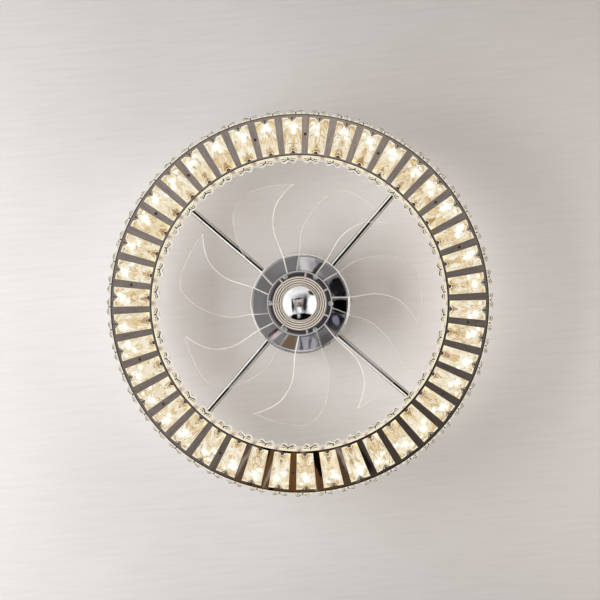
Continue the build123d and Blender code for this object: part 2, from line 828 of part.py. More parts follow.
stator_radius = motor_inside_radius - fit_gap
tooth_start_radius = stator_bore_radius + stator_tip_thickness
yoke_inside_radius = stator_radius - stator_yoke_thickness
winding_inner_radius = tooth_start_radius + stator_tip_thickness / 2
winding_half_width = stator_tooth_width / 2 + winding_thickness
winding_outer_radius = sqrt(yoke_inside_radius**2 - winding_half_width**2) - seat_gap

with BuildPart() as stator_core:
    with BuildSketch(Plane.XY.offset(stator_z)):
        Circle(stator_radius)
        Circle(yoke_inside_radius, mode=Mode.SUBTRACT)
        with PolarLocations((tooth_start_radius + stator_radius) / 2 - stator_yoke_thickness / 2,
                            stator_tooth_count):
            Rectangle(stator_radius - tooth_start_radius, stator_tooth_width)
        with PolarLocations(stator_bore_radius + stator_tip_thickness / 2, stator_tooth_count):
            Rectangle(2 * stator_tip_thickness, stator_tip_width)
        Circle(stator_bore_radius, mode=Mode.SUBTRACT)
    extrude(amount=stator_length)
finish(stator_core, "stator_core")

# Each coil is a rectangular bobbin of wire that goes round its tooth
coil_plane = Plane.YZ.offset(winding_inner_radius)
with BuildPart() as coil:
    with BuildSketch(coil_plane):
        with Locations((0, stator_z + stator_length / 2)):
            RectangleRounded(
                2 * winding_half_width,
                stator_length + 2 * winding_overhang,
                winding_thickness,
            )
            Rectangle(
                stator_tooth_width + 2 * loose_gap, stator_length + 2 * loose_gap, mode=Mode.SUBTRACT
            )
    extrude(amount=winding_outer_radius - winding_inner_radius)
with BuildPart() as stator_windings:
    with PolarLocations(0, stator_tooth_count):
        add(coil.part)
finish(stator_windings, "stator_windings")

# Bearings

bearing_inner_race = shaft_radius + fit_gap + bearing_ring_thickness
bearing_outer_race = bearing_outer_radius - bearing_ring_thickness
ball_radius = (bearing_outer_race - bearing_inner_race) / 2 + bearing_groove_share * bearing_ring_thickness
ball_circle_radius = (bearing_outer_race + bearing_inner_race) / 2


def bearing(bottom_z):
    """One deep-groove ball bearing: its outer ring, inner ring and balls."""
    middle_z = bottom_z + bearing_width / 2
    groove_radius = ball_radius + fit_gap
    rings = []
    for small, large in (
        (bearing_outer_race, bearing_outer_radius),
        (shaft_radius + fit_gap, bearing_inner_race),
    ):
        with BuildPart() as bearing_ring:
            with BuildSketch(Plane.XZ):
                with Locations(((small + large) / 2, middle_z)):
                    Rectangle(large - small, bearing_width)
                with Locations((ball_circle_radius, middle_z)):
                    Circle(groove_radius, mode=Mode.SUBTRACT)
            revolve(axis=Axis.Z)
        rings.append(bearing_ring)
    with BuildPart(Plane.XY.offset(middle_z)) as balls:
        with PolarLocations(ball_circle_radius, bearing_ball_count):
            Sphere(ball_radius)
    return rings[0], rings[1], balls


for end_name, end_z in (("front", front_bearing_z), ("rear", rear_bearing_z)):
    outer_ring, inner_ring, balls = bearing(end_z)
    finish(outer_ring, f"{end_name}_bearing_outer_ring")
    finish(inner_ring, f"{end_name}_bearing_inner_ring")
    finish(balls, f"{end_name}_bearing_balls")

# Shaft and rotor

with BuildPart() as motor_shaft:
    with BuildSketch(Plane.XY.offset(shaft_bottom_z)):
        Circle(shaft_radius)
    extrude(amount=shaft_top_z - shaft_bottom_z)
    chamfer(motor_shaft.edges().group_by(Axis.Z)[0], shaft_chamfer)
    with BuildSketch(Plane.YZ):
        with Locations((0, drive_pin_z)):
            Circle(drive_pin_radius + fit_gap)
    extrude(amount=shaft_radius + cut_over, both=True, mode=Mode.SUBTRACT)
finish(motor_shaft, "motor_shaft")

with BuildPart() as drive_pin:
    with BuildSketch(Plane.YZ):
        with Locations((0, drive_pin_z)):
            Circle(drive_pin_radius)
    extrude(amount=drive_pin_length / 2, both=True)
finish(drive_pin, "drive_pin")

rotor_radius = stator_bore_radius - rotor_air_gap
magnet_inside_radius = rotor_radius - rotor_magnet_thickness
rotor_bore_radius = shaft_radius + fit_gap
with BuildPart() as rotor_magnet:
    with BuildSketch(Plane.XY.offset(stator_z)):
        Circle(rotor_radius)
        Circle(magnet_inside_radius, mode=Mode.SUBTRACT)
    extrude(amount=stator_length)
finish(rotor_magnet, "rotor_magnet")

with BuildPart() as rotor_core:
    with BuildSketch(Plane.XY.offset(stator_z)):
        Circle(magnet_inside_radius - fit_gap)
        Circle(rotor_bore_radius, mode=Mode.SUBTRACT)
    extrude(amount=stator_length)
finish(rotor_core, "rotor_core")

with BuildPart() as rotor_spacers:
    for bottom, top in (
        (front_bearing_z + bearing_width, stator_z),
        (stator_z + stator_length, rear_bearing_z),
    ):
        with BuildSketch(Plane.XY.offset(bottom)):
            Circle(rotor_bore_radius + spacer_wall - bearing_ring_thickness / 2)
            Circle(rotor_bore_radius, mode=Mode.SUBTRACT)
        extrude(amount=top - bottom)
finish(rotor_spacers, "rotor_spacers")

# Driver tray, cases, terminal block and leads

led_driver_y = (case_gap_to_middle + led_driver_width) / 2
controller_y = -(case_gap_to_middle + controller_width) / 2


def ear_places(length, middle_y):
    reach = length / 2 + case_ear_length / 2
    return [(-reach, middle_y), (reach, middle_y)]


case_screw_places = ear_places(led_driver_length, led_driver_y) + ear_places(controller_length, controller_y)

with BuildPart() as driver_tray:
    with BuildSketch(Plane.XY.offset(motor_top_z)):
        Circle(tray_radius)
        with Locations(motor_bolt_places):
            Circle(motor_bolt_radius + loose_gap, mode=Mode.SUBTRACT)
        with Locations(case_screw_places):
            Circle(case_screw_radius + fit_gap, mode=Mode.SUBTRACT)
        with Locations(on_circle(tray_radius, lead_arm_angle)):
            Rectangle(2 * tray_notch_depth, 2 * tray_notch_depth, rotation=lead_arm_angle, mode=Mode.SUBTRACT)
        with Locations((0, -motor_lead_radius)):
            Circle(2 * lead_radius, mode=Mode.SUBTRACT)
    extrude(amount=tray_sheet)
finish(driver_tray, "driver_tray")


def electronics_case(length, width, height, middle_y):
    """A closed plastic case with a screw ear at each end, standing on the tray."""
    with BuildPart() as case:
        with BuildSketch(Plane.XY.offset(tray_top_z)):
            with Locations((0, middle_y)):
                RectangleRounded(length, width, case_corner_radius)
        extrude(amount=height)
        chamfer(case.edges().group_by(Axis.Z)[-1], chamfer_share * case_corner_radius)
        with BuildSketch(Plane.XY.offset(tray_top_z)):
            with Locations(ear_places(length, middle_y)):
                Rectangle(case_ear_length + case_corner_radius, case_ear_width)
                Circle(case_screw_radius + loose_gap, mode=Mode.SUBTRACT)
        extrude(amount=case_ear_thickness)
    return case


finish(electronics_case(led_driver_length, led_driver_width, led_driver_height, led_driver_y), "led_driver")
finish(
    electronics_case(controller_length, controller_width, controller_height, controller_y),
    "fan_controller",
)
driver_screws = screws(
    case_screw_places, tray_top_z + case_ear_thickness, 1, case_screw_head_radius,
    case_screw_head_height, case_screw_radius, case_ear_thickness + tray_sheet,
)
finish(driver_screws, "driver_screws")

terminal_y = -(cable_hole_radius + grommet_lip + terminal_width + case_gap_to_middle)
terminal_bottom_z = -bracket_sheet - terminal_height
with BuildPart() as terminal_block:
    with BuildSketch(Plane.XY.offset(terminal_bottom_z)):
        with Locations((0, terminal_y)):
            RectangleRounded(terminal_length, terminal_width, terminal_screw_radius / 2)
            with GridLocations(terminal_pole_pitch, 0, terminal_pole_count, 1):
                Circle(terminal_screw_radius + loose_gap, mode=Mode.SUBTRACT)
    extrude(amount=terminal_height / 2)
    with BuildSketch(Plane.XY.offset(terminal_bottom_z + terminal_height / 2)):
        with Locations((0, terminal_y)):
            RectangleRounded(terminal_length, terminal_width, terminal_screw_radius / 2)
    extrude(amount=terminal_height / 2)
    with BuildSketch(Plane.XZ.offset(-terminal_y)):
        with Locations((0, terminal_bottom_z + terminal_height / 2)):
            with GridLocations(terminal_pole_pitch, 0, terminal_pole_count, 1):
                Circle(terminal_hole_radius)
    extrude(amount=terminal_width, both=True, mode=Mode.SUBTRACT)
finish(terminal_block, "terminal_block")

with BuildPart() as terminal_screws:
    with BuildSketch(Plane.XY.offset(terminal_bottom_z)):
        with Locations((0, terminal_y)):
            with GridLocations(terminal_pole_pitch, 0, terminal_pole_count, 1):
                Circle(terminal_screw_radius)
    extrude(amount=terminal_screw_height)
finish(terminal_screws, "terminal_screws")

# The lead to the ring leaves the LED driver's end, drops beside the motor and runs through an arm's bore
lead_z = tray_top_z + led_driver_height / 2
lead_start_x = led_driver_length / 2
lead_turn_x = lead_start_x + lead_bend_radius + 2 * lead_radius
lead_start_y = led_driver_y - led_driver_width / 4
lead_drop_radius = arm_start_radius - lead_bend_radius - lead_radius
lead_drop = on_circle(lead_drop_radius, lead_arm_angle)
lead_rise = on_circle(led_board_inner_radius + led_board_inner_width / 2 - 2 * lead_radius, lead_arm_angle)
lead_end_z = cover_underside_z - led_board_thickness
lead_route = [
    (lead_start_x, lead_start_y, lead_z),
    (lead_turn_x, lead_start_y, lead_z),
    (lead_turn_x, lead_start_y - led_driver_width / 2 - 2 * lead_radius, lead_z),
    (*lead_drop, lead_z),
    (*lead_drop, arm_z),
    (*lead_rise, arm_z),
    (*lead_rise, lead_end_z),
]
with BuildPart() as led_lead:
    with BuildLine() as lead_path:
        FilletPolyline(*lead_route, radius=lead_bend_radius)
    with BuildSketch(Plane(origin=lead_path.wires()[0] @ 0, z_dir=lead_path.wires()[0] % 0)):
        Circle(lead_radius)
    sweep(path=lead_path.wires()[0])
finish(led_lead, "led_lead")

winding_top_z = stator_z + stator_length + winding_overhang
with BuildPart() as motor_lead:
    with BuildSketch(Plane.XY.offset(winding_top_z)):
        with Locations((0, -motor_lead_radius)):
            Circle(lead_radius)
    extrude(amount=tray_top_z - winding_top_z)
finish(motor_lead, "motor_lead")

# Two leads drop from the terminal block to the controller, and one joins the controller to the driver
supply_lead_y = max(terminal_y + terminal_width / 2 - lead_radius, controller_y - controller_width / 2)
controller_top_z = tray_top_z + controller_height
with BuildPart() as supply_leads:
    with BuildSketch(Plane.XY.offset(controller_top_z)):
        with Locations((0, supply_lead_y)):
            with GridLocations(terminal_pole_pitch, 0, 2, 1):
                Circle(lead_radius)
    extrude(amount=terminal_bottom_z - controller_top_z)
    with BuildSketch(Plane.XZ.offset(-case_gap_to_middle / 2)):
        with Locations((0, tray_top_z + controller_height / 2)):
            Circle(lead_radius)
    extrude(amount=case_gap_to_middle)
finish(supply_leads, "supply_leads")

# Impeller: one clear moulding

impeller_tip_radius = ring_inner_radius - crystal_stand_out - impeller_tip_gap
impeller_middle_z = impeller_rim_top_z - impeller_rim_height / 2
blade_root_radius = impeller_rim_radius - impeller_rim_wall / 2
blade_rise = blade_rise_per_degree_share * impeller_rim_height


def blade_radius(share):
    return blade_root_radius + share * (impeller_tip_radius - blade_root_radius)


def blade_outline(shares):
    """Points of one blade's edge, from shares of the blade's reach and angles seen from below."""
    return [on_circle(blade_radius(share), blade_phase - angle) for share, angle in shares]


def blade_section(angle):
    """The blade's upright section at one angle, from inside the rim to past the tip."""
    azimuth = radians(blade_phase - angle)
    upright = Plane(
        origin=(0, 0, 0), x_dir=(cos(azimuth), sin(azimuth), 0), z_dir=(sin(azimuth), -cos(azimuth), 0)
    )
    middle = [
        (blade_radius(share), impeller_middle_z - blade_rise * (angle - middle_angle))
        for share, middle_angle in zip(blade_section_shares, blade_middle_angle_shares)
    ]
    top = [(radius, height + blade_thickness / 2) for radius, height in middle]
    bottom = [(radius, height - blade_thickness / 2) for radius, height in middle]
    with BuildSketch(upright) as section:
        with BuildLine():
            Spline(*top)
            Line(top[-1], bottom[-1])
            Spline(*reversed(bottom))
            Line(bottom[0], top[0])
        make_face()
    return section.sketch


leading_edge = blade_outline(leading_edge_shares)
trailing_edge = blade_outline(trailing_edge_shares)
blade_tip = blade_outline(blade_tip_shares)
root_middle_angle = (leading_edge_shares[0][1] + trailing_edge_shares[0][1]) / 2

with BuildPart() as blade:
    loft([blade_section(angle) for angle in blade_section_angles])
    with BuildSketch(Plane.XY.offset(impeller_middle_z)):
        with BuildLine():
            Spline(*leading_edge)
            Spline(*reversed(blade_tip))
            Spline(*reversed(trailing_edge))
            root_middle = on_circle(blade_root_radius, blade_phase - root_middle_angle)
            ThreePointArc(trailing_edge[0], root_middle, leading_edge[0])
        make_face()
    extrude(amount=impeller_rim_height, both=True, mode=Mode.INTERSECT)

with BuildPart() as fan_impeller:
    with BuildSketch(Plane.XY.offset(impeller_rim_bottom_z)):
        Circle(impeller_rim_radius)
        Circle(impeller_rim_radius - impeller_rim_wall, mode=Mode.SUBTRACT)
    extrude(amount=impeller_rim_height)
    with BuildSketch(Plane.XY.offset(impeller_disc_z)):
        Circle(impeller_disc_radius)
    extrude(amount=impeller_disc_thickness)
    with BuildSketch(Plane.XY.offset(impeller_disc_z)):
        Circle(impeller_disc_radius)
        Circle(impeller_disc_radius - impeller_cup_wall, mode=Mode.SUBTRACT)
    extrude(amount=impeller_cup_height)
    with BuildSketch(Plane.XY.offset(impeller_disc_z)):
        Circle(impeller_boss_radius)
    extrude(amount=impeller_rim_top_z - impeller_disc_z)
    rib_inner_radius = impeller_boss_radius - fit_gap
    with BuildSketch(Plane.XY.offset(impeller_disc_z)):
        with PolarLocations(
            (rib_inner_radius + blade_root_radius) / 2, impeller_blade_count, impeller_rib_start
        ):
            Rectangle(blade_root_radius - rib_inner_radius, impeller_rib_thickness)
    extrude(amount=impeller_rib_height)
    ripple_inner_radius = nut_radius + 2 * impeller_ripple_radius
    ripple_outer_radius = impeller_disc_radius - 2 * impeller_ripple_radius
    ripple_step = (ripple_outer_radius - ripple_inner_radius) / (impeller_ripple_count - 1)
    with BuildSketch(Plane.XZ):
        for number in range(impeller_ripple_count):
            with Locations((ripple_inner_radius + number * ripple_step, impeller_disc_z)):
                Circle(impeller_ripple_radius)
    revolve(axis=Axis.Z)
    with PolarLocations(0, impeller_blade_count):
        add(blade.part)
    with BuildSketch(Plane.XY.offset(impeller_rim_bottom_z)):
        Circle(shaft_radius + fit_gap)
    extrude(amount=impeller_rim_height + cut_over, mode=Mode.SUBTRACT)
    with BuildSketch(Plane.XY.offset(drive_pin_z - drive_pin_radius - fit_gap)):
        Rectangle(2 * impeller_boss_radius + cut_over, 2 * (drive_pin_radius + fit_gap))
    extrude(amount=2 * drive_pin_radius + cut_over, mode=Mode.SUBTRACT)
finish(fan_impeller, "fan_impeller")

with BuildPart() as impeller_washer:
    with BuildSketch(Plane.XY.offset(washer_z)):
        Circle(washer_radius)
        Circle(shaft_radius + fit_gap, mode=Mode.SUBTRACT)
    extrude(amount=washer_thickness)
finish(impeller_washer, "impeller_washer")


def dome_section(radius, height):
    """Half of the dome nut's section: a short skirt below the washer, then a round dome."""
    sphere_radius = (radius**2 + height**2) / (2 * height)
    skirt_z = washer_z - nut_skirt
    centre_z = skirt_z - height + sphere_radius
    half_way = radius / sqrt(2)
    half_way_z = centre_z - sqrt(sphere_radius**2 - half_way**2)
    with BuildSketch(Plane.XZ) as section:
        with BuildLine():
            Polyline((0, skirt_z - height), (0, washer_z), (radius, washer_z), (radius, skirt_z))
            ThreePointArc((radius, skirt_z), (half_way, half_way_z), (0, skirt_z - height))
        make_face()
    return section.sketch


with BuildPart() as spinner_nut:
    revolve(dome_section(nut_radius, nut_dome_height), axis=Axis.Z)
    with BuildSketch(Plane.XZ):
        add(dome_section(nut_radius - nut_wall, nut_dome_height - nut_wall))
        with Locations((0, washer_z - nut_dome_height / 2)):
            Rectangle(2 * nut_boss_radius, 2 * nut_dome_height, mode=Mode.SUBTRACT)
    revolve(axis=Axis.Z, mode=Mode.SUBTRACT)
    with BuildSketch(Plane.XY.offset(shaft_bottom_z - loose_gap)):
        Circle(shaft_radius + fit_gap)
    extrude(amount=washer_z - shaft_bottom_z + cut_over, mode=Mode.SUBTRACT)
finish(spinner_nut, "spinner_nut")
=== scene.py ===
from math import asin, atan2, cos, degrees, hypot, pi, radians, sin, sqrt

import bmesh
import bpy
from mathutils import Matrix, Vector


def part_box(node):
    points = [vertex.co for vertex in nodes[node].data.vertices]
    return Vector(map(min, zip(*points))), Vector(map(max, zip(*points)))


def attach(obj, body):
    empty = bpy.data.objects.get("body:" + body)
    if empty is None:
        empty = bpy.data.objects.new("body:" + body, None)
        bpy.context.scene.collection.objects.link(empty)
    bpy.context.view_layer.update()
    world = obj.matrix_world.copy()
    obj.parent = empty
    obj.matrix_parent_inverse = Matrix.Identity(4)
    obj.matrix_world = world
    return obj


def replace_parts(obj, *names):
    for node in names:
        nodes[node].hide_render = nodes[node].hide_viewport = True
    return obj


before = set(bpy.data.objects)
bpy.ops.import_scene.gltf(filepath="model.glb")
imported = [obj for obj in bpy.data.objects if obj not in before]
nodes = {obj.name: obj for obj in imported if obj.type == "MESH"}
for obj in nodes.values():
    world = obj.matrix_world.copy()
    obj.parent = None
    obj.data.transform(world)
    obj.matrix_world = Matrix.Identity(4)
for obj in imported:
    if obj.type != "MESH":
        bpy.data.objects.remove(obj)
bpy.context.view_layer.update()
scene = bpy.context.scene
MM = 0.001

# The photograph's view: from below, nearly on the axis. Directions in it, and places given by them.

VIEW_TURN = radians(4.5)
SEEN_RIGHT = Vector((cos(VIEW_TURN), sin(VIEW_TURN), 0))
SEEN_UP = Vector((sin(VIEW_TURN), -cos(VIEW_TURN), 0))
CAMERA_Z = -2.164
CAMERA_ASIDE = 0.055
CAMERA_LENS = 93.6
CAMERA_SHIFT = (0.0015, 0.0056)


def seen(right, up, z):
    """A place from how far right and up the photograph shows it, and its height. Metres."""
    return SEEN_RIGHT * right + SEEN_UP * up + Vector((0, 0, z))


# Sizes taken from the frame, in metres

plate_low, plate_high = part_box("ring_bottom_plate")
ring_radius = plate_high.x
plate_z = plate_low.z
canopy_low, canopy_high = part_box("canopy")
canopy_radius = canopy_high.x
canopy_z = canopy_low.z
nut_low, nut_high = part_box("spinner_nut")
washer_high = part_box("impeller_washer")[1]
impeller_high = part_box("fan_impeller")[1]
crystals_low, crystals_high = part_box("outer_crystals")

RING_WIDTH = 53 * MM
ring_inner_radius = ring_radius - RING_WIDTH

# The underside's windows: places in degrees, and the share of the pitch that half a window takes
WINDOW_PITCH = 360 / 42
WINDOW_START = -2
WINDOW_HALF_SHARE = 0.385
WINDOW_INNER = ring_inner_radius + 2.7 * MM
WINDOW_OUTER = ring_radius - 4.4 * MM
INNER_PITCH = 360 / 40  # of the inner wall's windows

ROD_RADIUS = 4 * MM
CRYSTAL_LIP = 0.7 * MM
WALL_CRYSTAL_LOW = crystals_low.z + CRYSTAL_LIP
WALL_CRYSTAL_HIGH = crystals_high.z - CRYSTAL_LIP
TURNING_LINES = 900  # scale across the lines that turning and polishing leave


# Small helpers for shader trees. A colour of three numbers is as a screen shows it, 0 to 255.


def screen(red, green, blue):
    """A colour as a screen shows it in the linear values that shaders take."""

    def channel(value):
        share = value / 255
        return share / 12.92 if share <= 0.04045 else ((share + 0.055) / 1.055) ** 2.4

    return (channel(red), channel(green), channel(blue), 1)


class Value:
    """A socket of a shader tree. A formula written with it adds the Math nodes that work it out."""

    def __init__(self, made, output=0):
        self.socket = made.outputs[output]
        self.tree = made.id_data

    def __add__(self, other):
        return calc("ADD", self, other)

    def __sub__(self, other):
        return calc("SUBTRACT", self, other)

    def __rsub__(self, other):
        return calc("SUBTRACT", other, self)

    def __mul__(self, other):
        return calc("MULTIPLY", self, other)

    def __truediv__(self, other):
        return calc("DIVIDE", self, other)

    def __abs__(self):
        return calc("ABSOLUTE", self)


def set_inputs(made, inputs):
    """Links a node's inputs to the Values given, and sets the others to what is given."""
    for name, value in inputs.items():
        socket = made.inputs[name]
        if isinstance(value, Value):
            made.id_data.links.new(value.socket, socket)
        elif socket.type == "RGBA" and len(value) == 3:
            socket.default_value = screen(*value)
        else:
            socket.default_value = value


def feed(made, **inputs):
    """Links or sets a node's inputs by name, with _ for the spaces in the names."""
    set_inputs(made, {name.replace("_", " "): value for name, value in inputs.items()})


def node(tree, kind, inputs=None, **settings):
    made = tree.nodes.new("ShaderNode" + kind)
    for name, value in settings.items():
        setattr(made, name, value)
    set_inputs(made, inputs or {})
    return made


def result(tree, kind, inputs=None, output=0, **settings):
    """What one output of a new shader node gives."""
    return Value(node(tree, kind, inputs, **settings), output)


def numbered(kind, inputs, output=0, **settings):
    """The result of a new node whose inputs are given in their order, at least one as a Value."""
    tree = next(one.tree for one in inputs if isinstance(one, Value))
    return result(tree, kind, dict(enumerate(inputs)), output, **settings)


def calc(operation, *inputs):
    """The result of a Math node."""
    return numbered("Math", inputs, operation=operation)


def vector_math(operation, *inputs, output=0):
    return numbered("VectorMath", inputs, output, operation=operation)


def mixed_shaders(share, first, second):
    return numbered("MixShader", (share, first, second))


def emission(colour, strength):
    return numbered("Emission", (colour, strength))


def combined(x, y, z):
    return numbered("CombineXYZ", (x, y, z))


def split(whole, kind="XYZ"):
    """The three parts of a vector, or of a colour when the kind is Color."""
    made = node(whole.tree, "Separate" + kind, {0: whole})
    return [Value(made, index) for index in range(3)]


def material(name, **inputs):
    """A material with its tree and its Principled shader, whose inputs are as for feed."""
    made = bpy.data.materials.new(name)
    made.use_nodes = True
    shader = made.node_tree.nodes["Principled BSDF"]
    feed(shader, **inputs)
    return made, made.node_tree, shader


def unsampled(made):
    """Keeps Cycles from aiming at a material's light: what rays find of it is enough."""
    made.cycles.emission_sampling = "NONE"
    return made


def bare_material(name):
    """A material without a shader yet."""
    made, tree, shader = material(name)
    tree.nodes.remove(shader)
    return unsampled(made), tree


def show(shown):
    """Makes a shader what the material's surface shows."""
    feed(shown.tree.nodes["Material Output"], Surface=shown)


def spread(value, from_min, from_max, to_min=0, to_max=1):
    """The value's share of one range as the same share of another, and no more than its ends."""
    inputs = {"Value": value, "From Min": from_min, "From Max": from_max, "To Min": to_min, "To Max": to_max}
    return result(value.tree, "MapRange", inputs)


def mixed(factor, first, second):
    """The first colour where the factor is 0, and the second where it is 1."""
    return result(factor.tree, "Mix", {0: factor, 6: first, 7: second}, 2, data_type="RGBA")


def ramp(factor, stops):
    """A colour ramp through (place, colour) stops."""
    made = node(factor.tree, "ValToRGB", {"Fac": factor})
    points = made.color_ramp.elements
    while len(points) < len(stops):
        points.new(0.5)
    for point, (place, colour) in zip(points, stops):
        point.position = place
        point.color = screen(*colour)
    return Value(made)


def lowest(first, *others):
    for other in others:
        first = calc("MINIMUM", first, other)
    return first


def highest(first, *others):
    for other in others:
        first = calc("MAXIMUM", first, other)
    return first


def near(value, middle, half, soft):
    """1 while the value is within half of the middle, and 0 from soft further away."""
    return spread(abs(value - middle), half, half + soft, 1, 0)


def local(tree):
    return result(tree, "TexCoord", output="Object")


def polar(tree):
    """Radius, angle and height about the part's axis."""
    x, y, height = split(local(tree))
    return calc("SQRT", x * x + y * y), calc("ARCTAN2", y, x), height


def noise(vector, scale, detail=3, roughness=0.5):
    inputs = {"Vector": vector, "Scale": scale, "Detail": detail, "Roughness": roughness}
    return result(vector.tree, "TexNoise", inputs)


def grain(tree, scale, detail=3):
    """Noise by the place on the piece."""
    return noise(local(tree), scale, detail)


def random_cells(vector, scale=1):
    """A colour of its own for each Voronoi cell."""
    return result(vector.tree, "TexVoronoi", {"Vector": vector, "Scale": scale}, "Color")


def bumped(shader, height, strength, distance=0.0002):
    inputs = {"Height": height, "Strength": strength, "Distance": distance}
    feed(shader, Normal=result(height.tree, "Bump", inputs))


def nearest_place(angle, start, pitch):
    """The number of the nearest of the places round the axis, and how many pitches away it is."""
    turns = (angle + (2 * pi - radians(start))) / radians(pitch)
    number = calc("ROUND", turns)
    return number, turns - number


def window_places(angle):
    """The number of the underside's nearest window, and how far across it: 1 at its side."""
    number, offset = nearest_place(angle, WINDOW_START, WINDOW_PITCH)
    return number, offset / WINDOW_HALF_SHARE


def cut_edges(tree, radius):
    """1 along sharp edges and 0 away from them, from how far a rounded normal leaves the true one."""
    rounded = result(tree, "Bevel", {"Radius": radius}, samples=6)
    flat = result(tree, "NewGeometry", output="Normal")
    likeness = vector_math("DOT_PRODUCT", rounded, flat, output="Value")
    return spread(likeness, 0.997, 0.95)


def soft_spot(across, along, centre, half_size):
    """1 at a centre, falling to 0 as a bell does; half_size is where it has fallen to about a third."""
    side, end = ((value - middle) / half for value, middle, half in zip((across, along), centre, half_size))
    return calc("EXPONENT", (side * side + end * end) * -1)


# Finishes


def chrome(name, tint, low_roughness, high_roughness):
    """Bright plating: a faint cloud of polish marks and a very shallow ripple."""
    made, tree, shader = material(name, Base_Color=tint, Metallic=1)
    feed(shader, Roughness=spread(grain(tree, 26), 0.35, 0.7, low_roughness, high_roughness))
    bumped(shader, grain(tree, 60, 2), 0.03)
    return made


def canopy_chrome():
    """The drum's plating; its rolled rim has a painted reflection: a glowing white line, painted dark where
    the room is dark, and a painted dark outline at its edge.
    """
    plating = (214, 214, 217)
    made = chrome("canopy_chrome", plating, 0, 0.02)
    tree = made.node_tree
    shader = tree.nodes["Principled BSDF"]
    radius, angle, height = polar(tree)
    # Painted reflection on the rolled rim: a white line that glows a little, painted dark on the side
    # towards the dark room, and a painted dark outline
    low = spread(height, canopy_z + 3.2 * MM, canopy_z + 2.6 * MM)
    toward = angle - (VIEW_TURN - radians(90)) + grain(tree, 40, 2)
    painted_dark_side = spread(calc("COSINE", toward - (pi + 0.5)), 0.55, 0.75)
    line = near(radius, canopy_radius - 1.3 * MM, 0.2 * MM, 0.3 * MM) * low
    outline = spread(radius, canopy_radius - 0.6 * MM, canopy_radius - 0.4 * MM, 0, 0.8) * low
    white = line * (1 - painted_dark_side)
    black = highest(outline, line * painted_dark_side)
    feed(shader, Base_Color=mixed(black, mixed(white, plating, (255, 255, 255)), (30, 28, 28)),
         Emission_Color=(250, 250, 252), Emission_Strength=white * 0.4)
    return unsampled(made)


def chrome_rod_painted_streaks(name, other_axis):
    """Bright plating on a drawn tube, with painted reflections: dark and white streaks run the tube's length
    and glow a little.
    """
    made, tree, shader = material(name, Metallic=1, Roughness=0.02, Emission_Strength=0.22)
    x, y, _ = split(local(tree))
    drift = grain(tree, 9, 2) * 0.5 - 0.25
    across = (y * other_axis + x) * (sqrt(0.5) / ROD_RADIUS) + drift
    # Painted reflection: tones by the place across the tube stand in for the room the tube mirrors, and glow
    # faintly as painted light
    tone = ramp(spread(across, -1, 1), (
        (0, (96, 94, 92)),
        (0.09, (150, 148, 146)),
        (0.15, (255, 255, 255)),
        (0.32, (250, 250, 250)),
        (0.4, (40, 40, 40)),
        (0.66, (24, 24, 26)),
        (0.74, (150, 148, 146)),
        (0.82, (236, 234, 230)),
        (0.9, (120, 116, 112)),
        (1, (70, 68, 66)),
    ))
    feed(shader, Base_Color=tone, Emission_Color=tone)
    bumped(shader, grain(tree, 60, 2), 0.02)
    return unsampled(made)


def turned_steel(name, tint, shade, low_roughness, high_roughness):
    """Polished steel sheet with fine grain round the axis."""
    made, tree, shader = material(name, Metallic=1)
    radius, angle, height = polar(tree)
    lines = noise(combined(radius * TURNING_LINES, angle, height * TURNING_LINES), 1, 4)
    feed(shader, Base_Color=mixed(spread(grain(tree, 14), 0.35, 0.65), tint, shade),
         Roughness=spread(lines, 0.3, 0.7, low_roughness, high_roughness))
    bumped(shader, lines, 0.05, 0.0001)
    return made


def plate_steel():
    """The ring's underside: taupe mirror steel with a painted dark reflection along its rolled edges, and
    its tongues painted darker and rougher as painted shade for the bent tabs.
    """
    made, tree, shader = material("ring_plate_steel", Metallic=1)
    radius, angle, _ = polar(tree)
    lines = noise(combined(radius * 700, angle, 0), 1, 4)
    cloud = noise(combined(radius * 60, angle * 60, 0), 1, 4, 0.7)
    body = mixed(spread(cloud, 0.35, 0.65), (190, 189, 189), (164, 161, 160))
    # Painted dark reflection along the rolled edges
    edge_distance = RING_WIDTH / 2 - abs(radius - (ring_radius - RING_WIDTH / 2))
    rim = spread(edge_distance, 0.9 * MM, 1.9 * MM, 1, 0)
    plate = mixed(rim, body, (92, 87, 84))
    # Painted shade on the tongues: darker, rougher steel where the tabs are bent
    _, across = window_places(angle)
    tongue_middle, tongue_half, soft = 2.6 * MM, 2.7 * MM, 0.2 * MM
    at_ends = highest(near(radius, WINDOW_INNER + tongue_middle, tongue_half, soft),
                      near(radius, WINDOW_OUTER - tongue_middle, tongue_half, soft))
    tongues = near(across, 0, 0.4, 0.1) * at_ends
    feed(shader, Base_Color=mixed(tongues, plate, (138, 131, 126)),
         Roughness=tongues * 0.4 + spread(lines, 0.3, 0.7, 0, 0.012))
    bumped(shader, lines, 0.02, 0.0001)
    return made


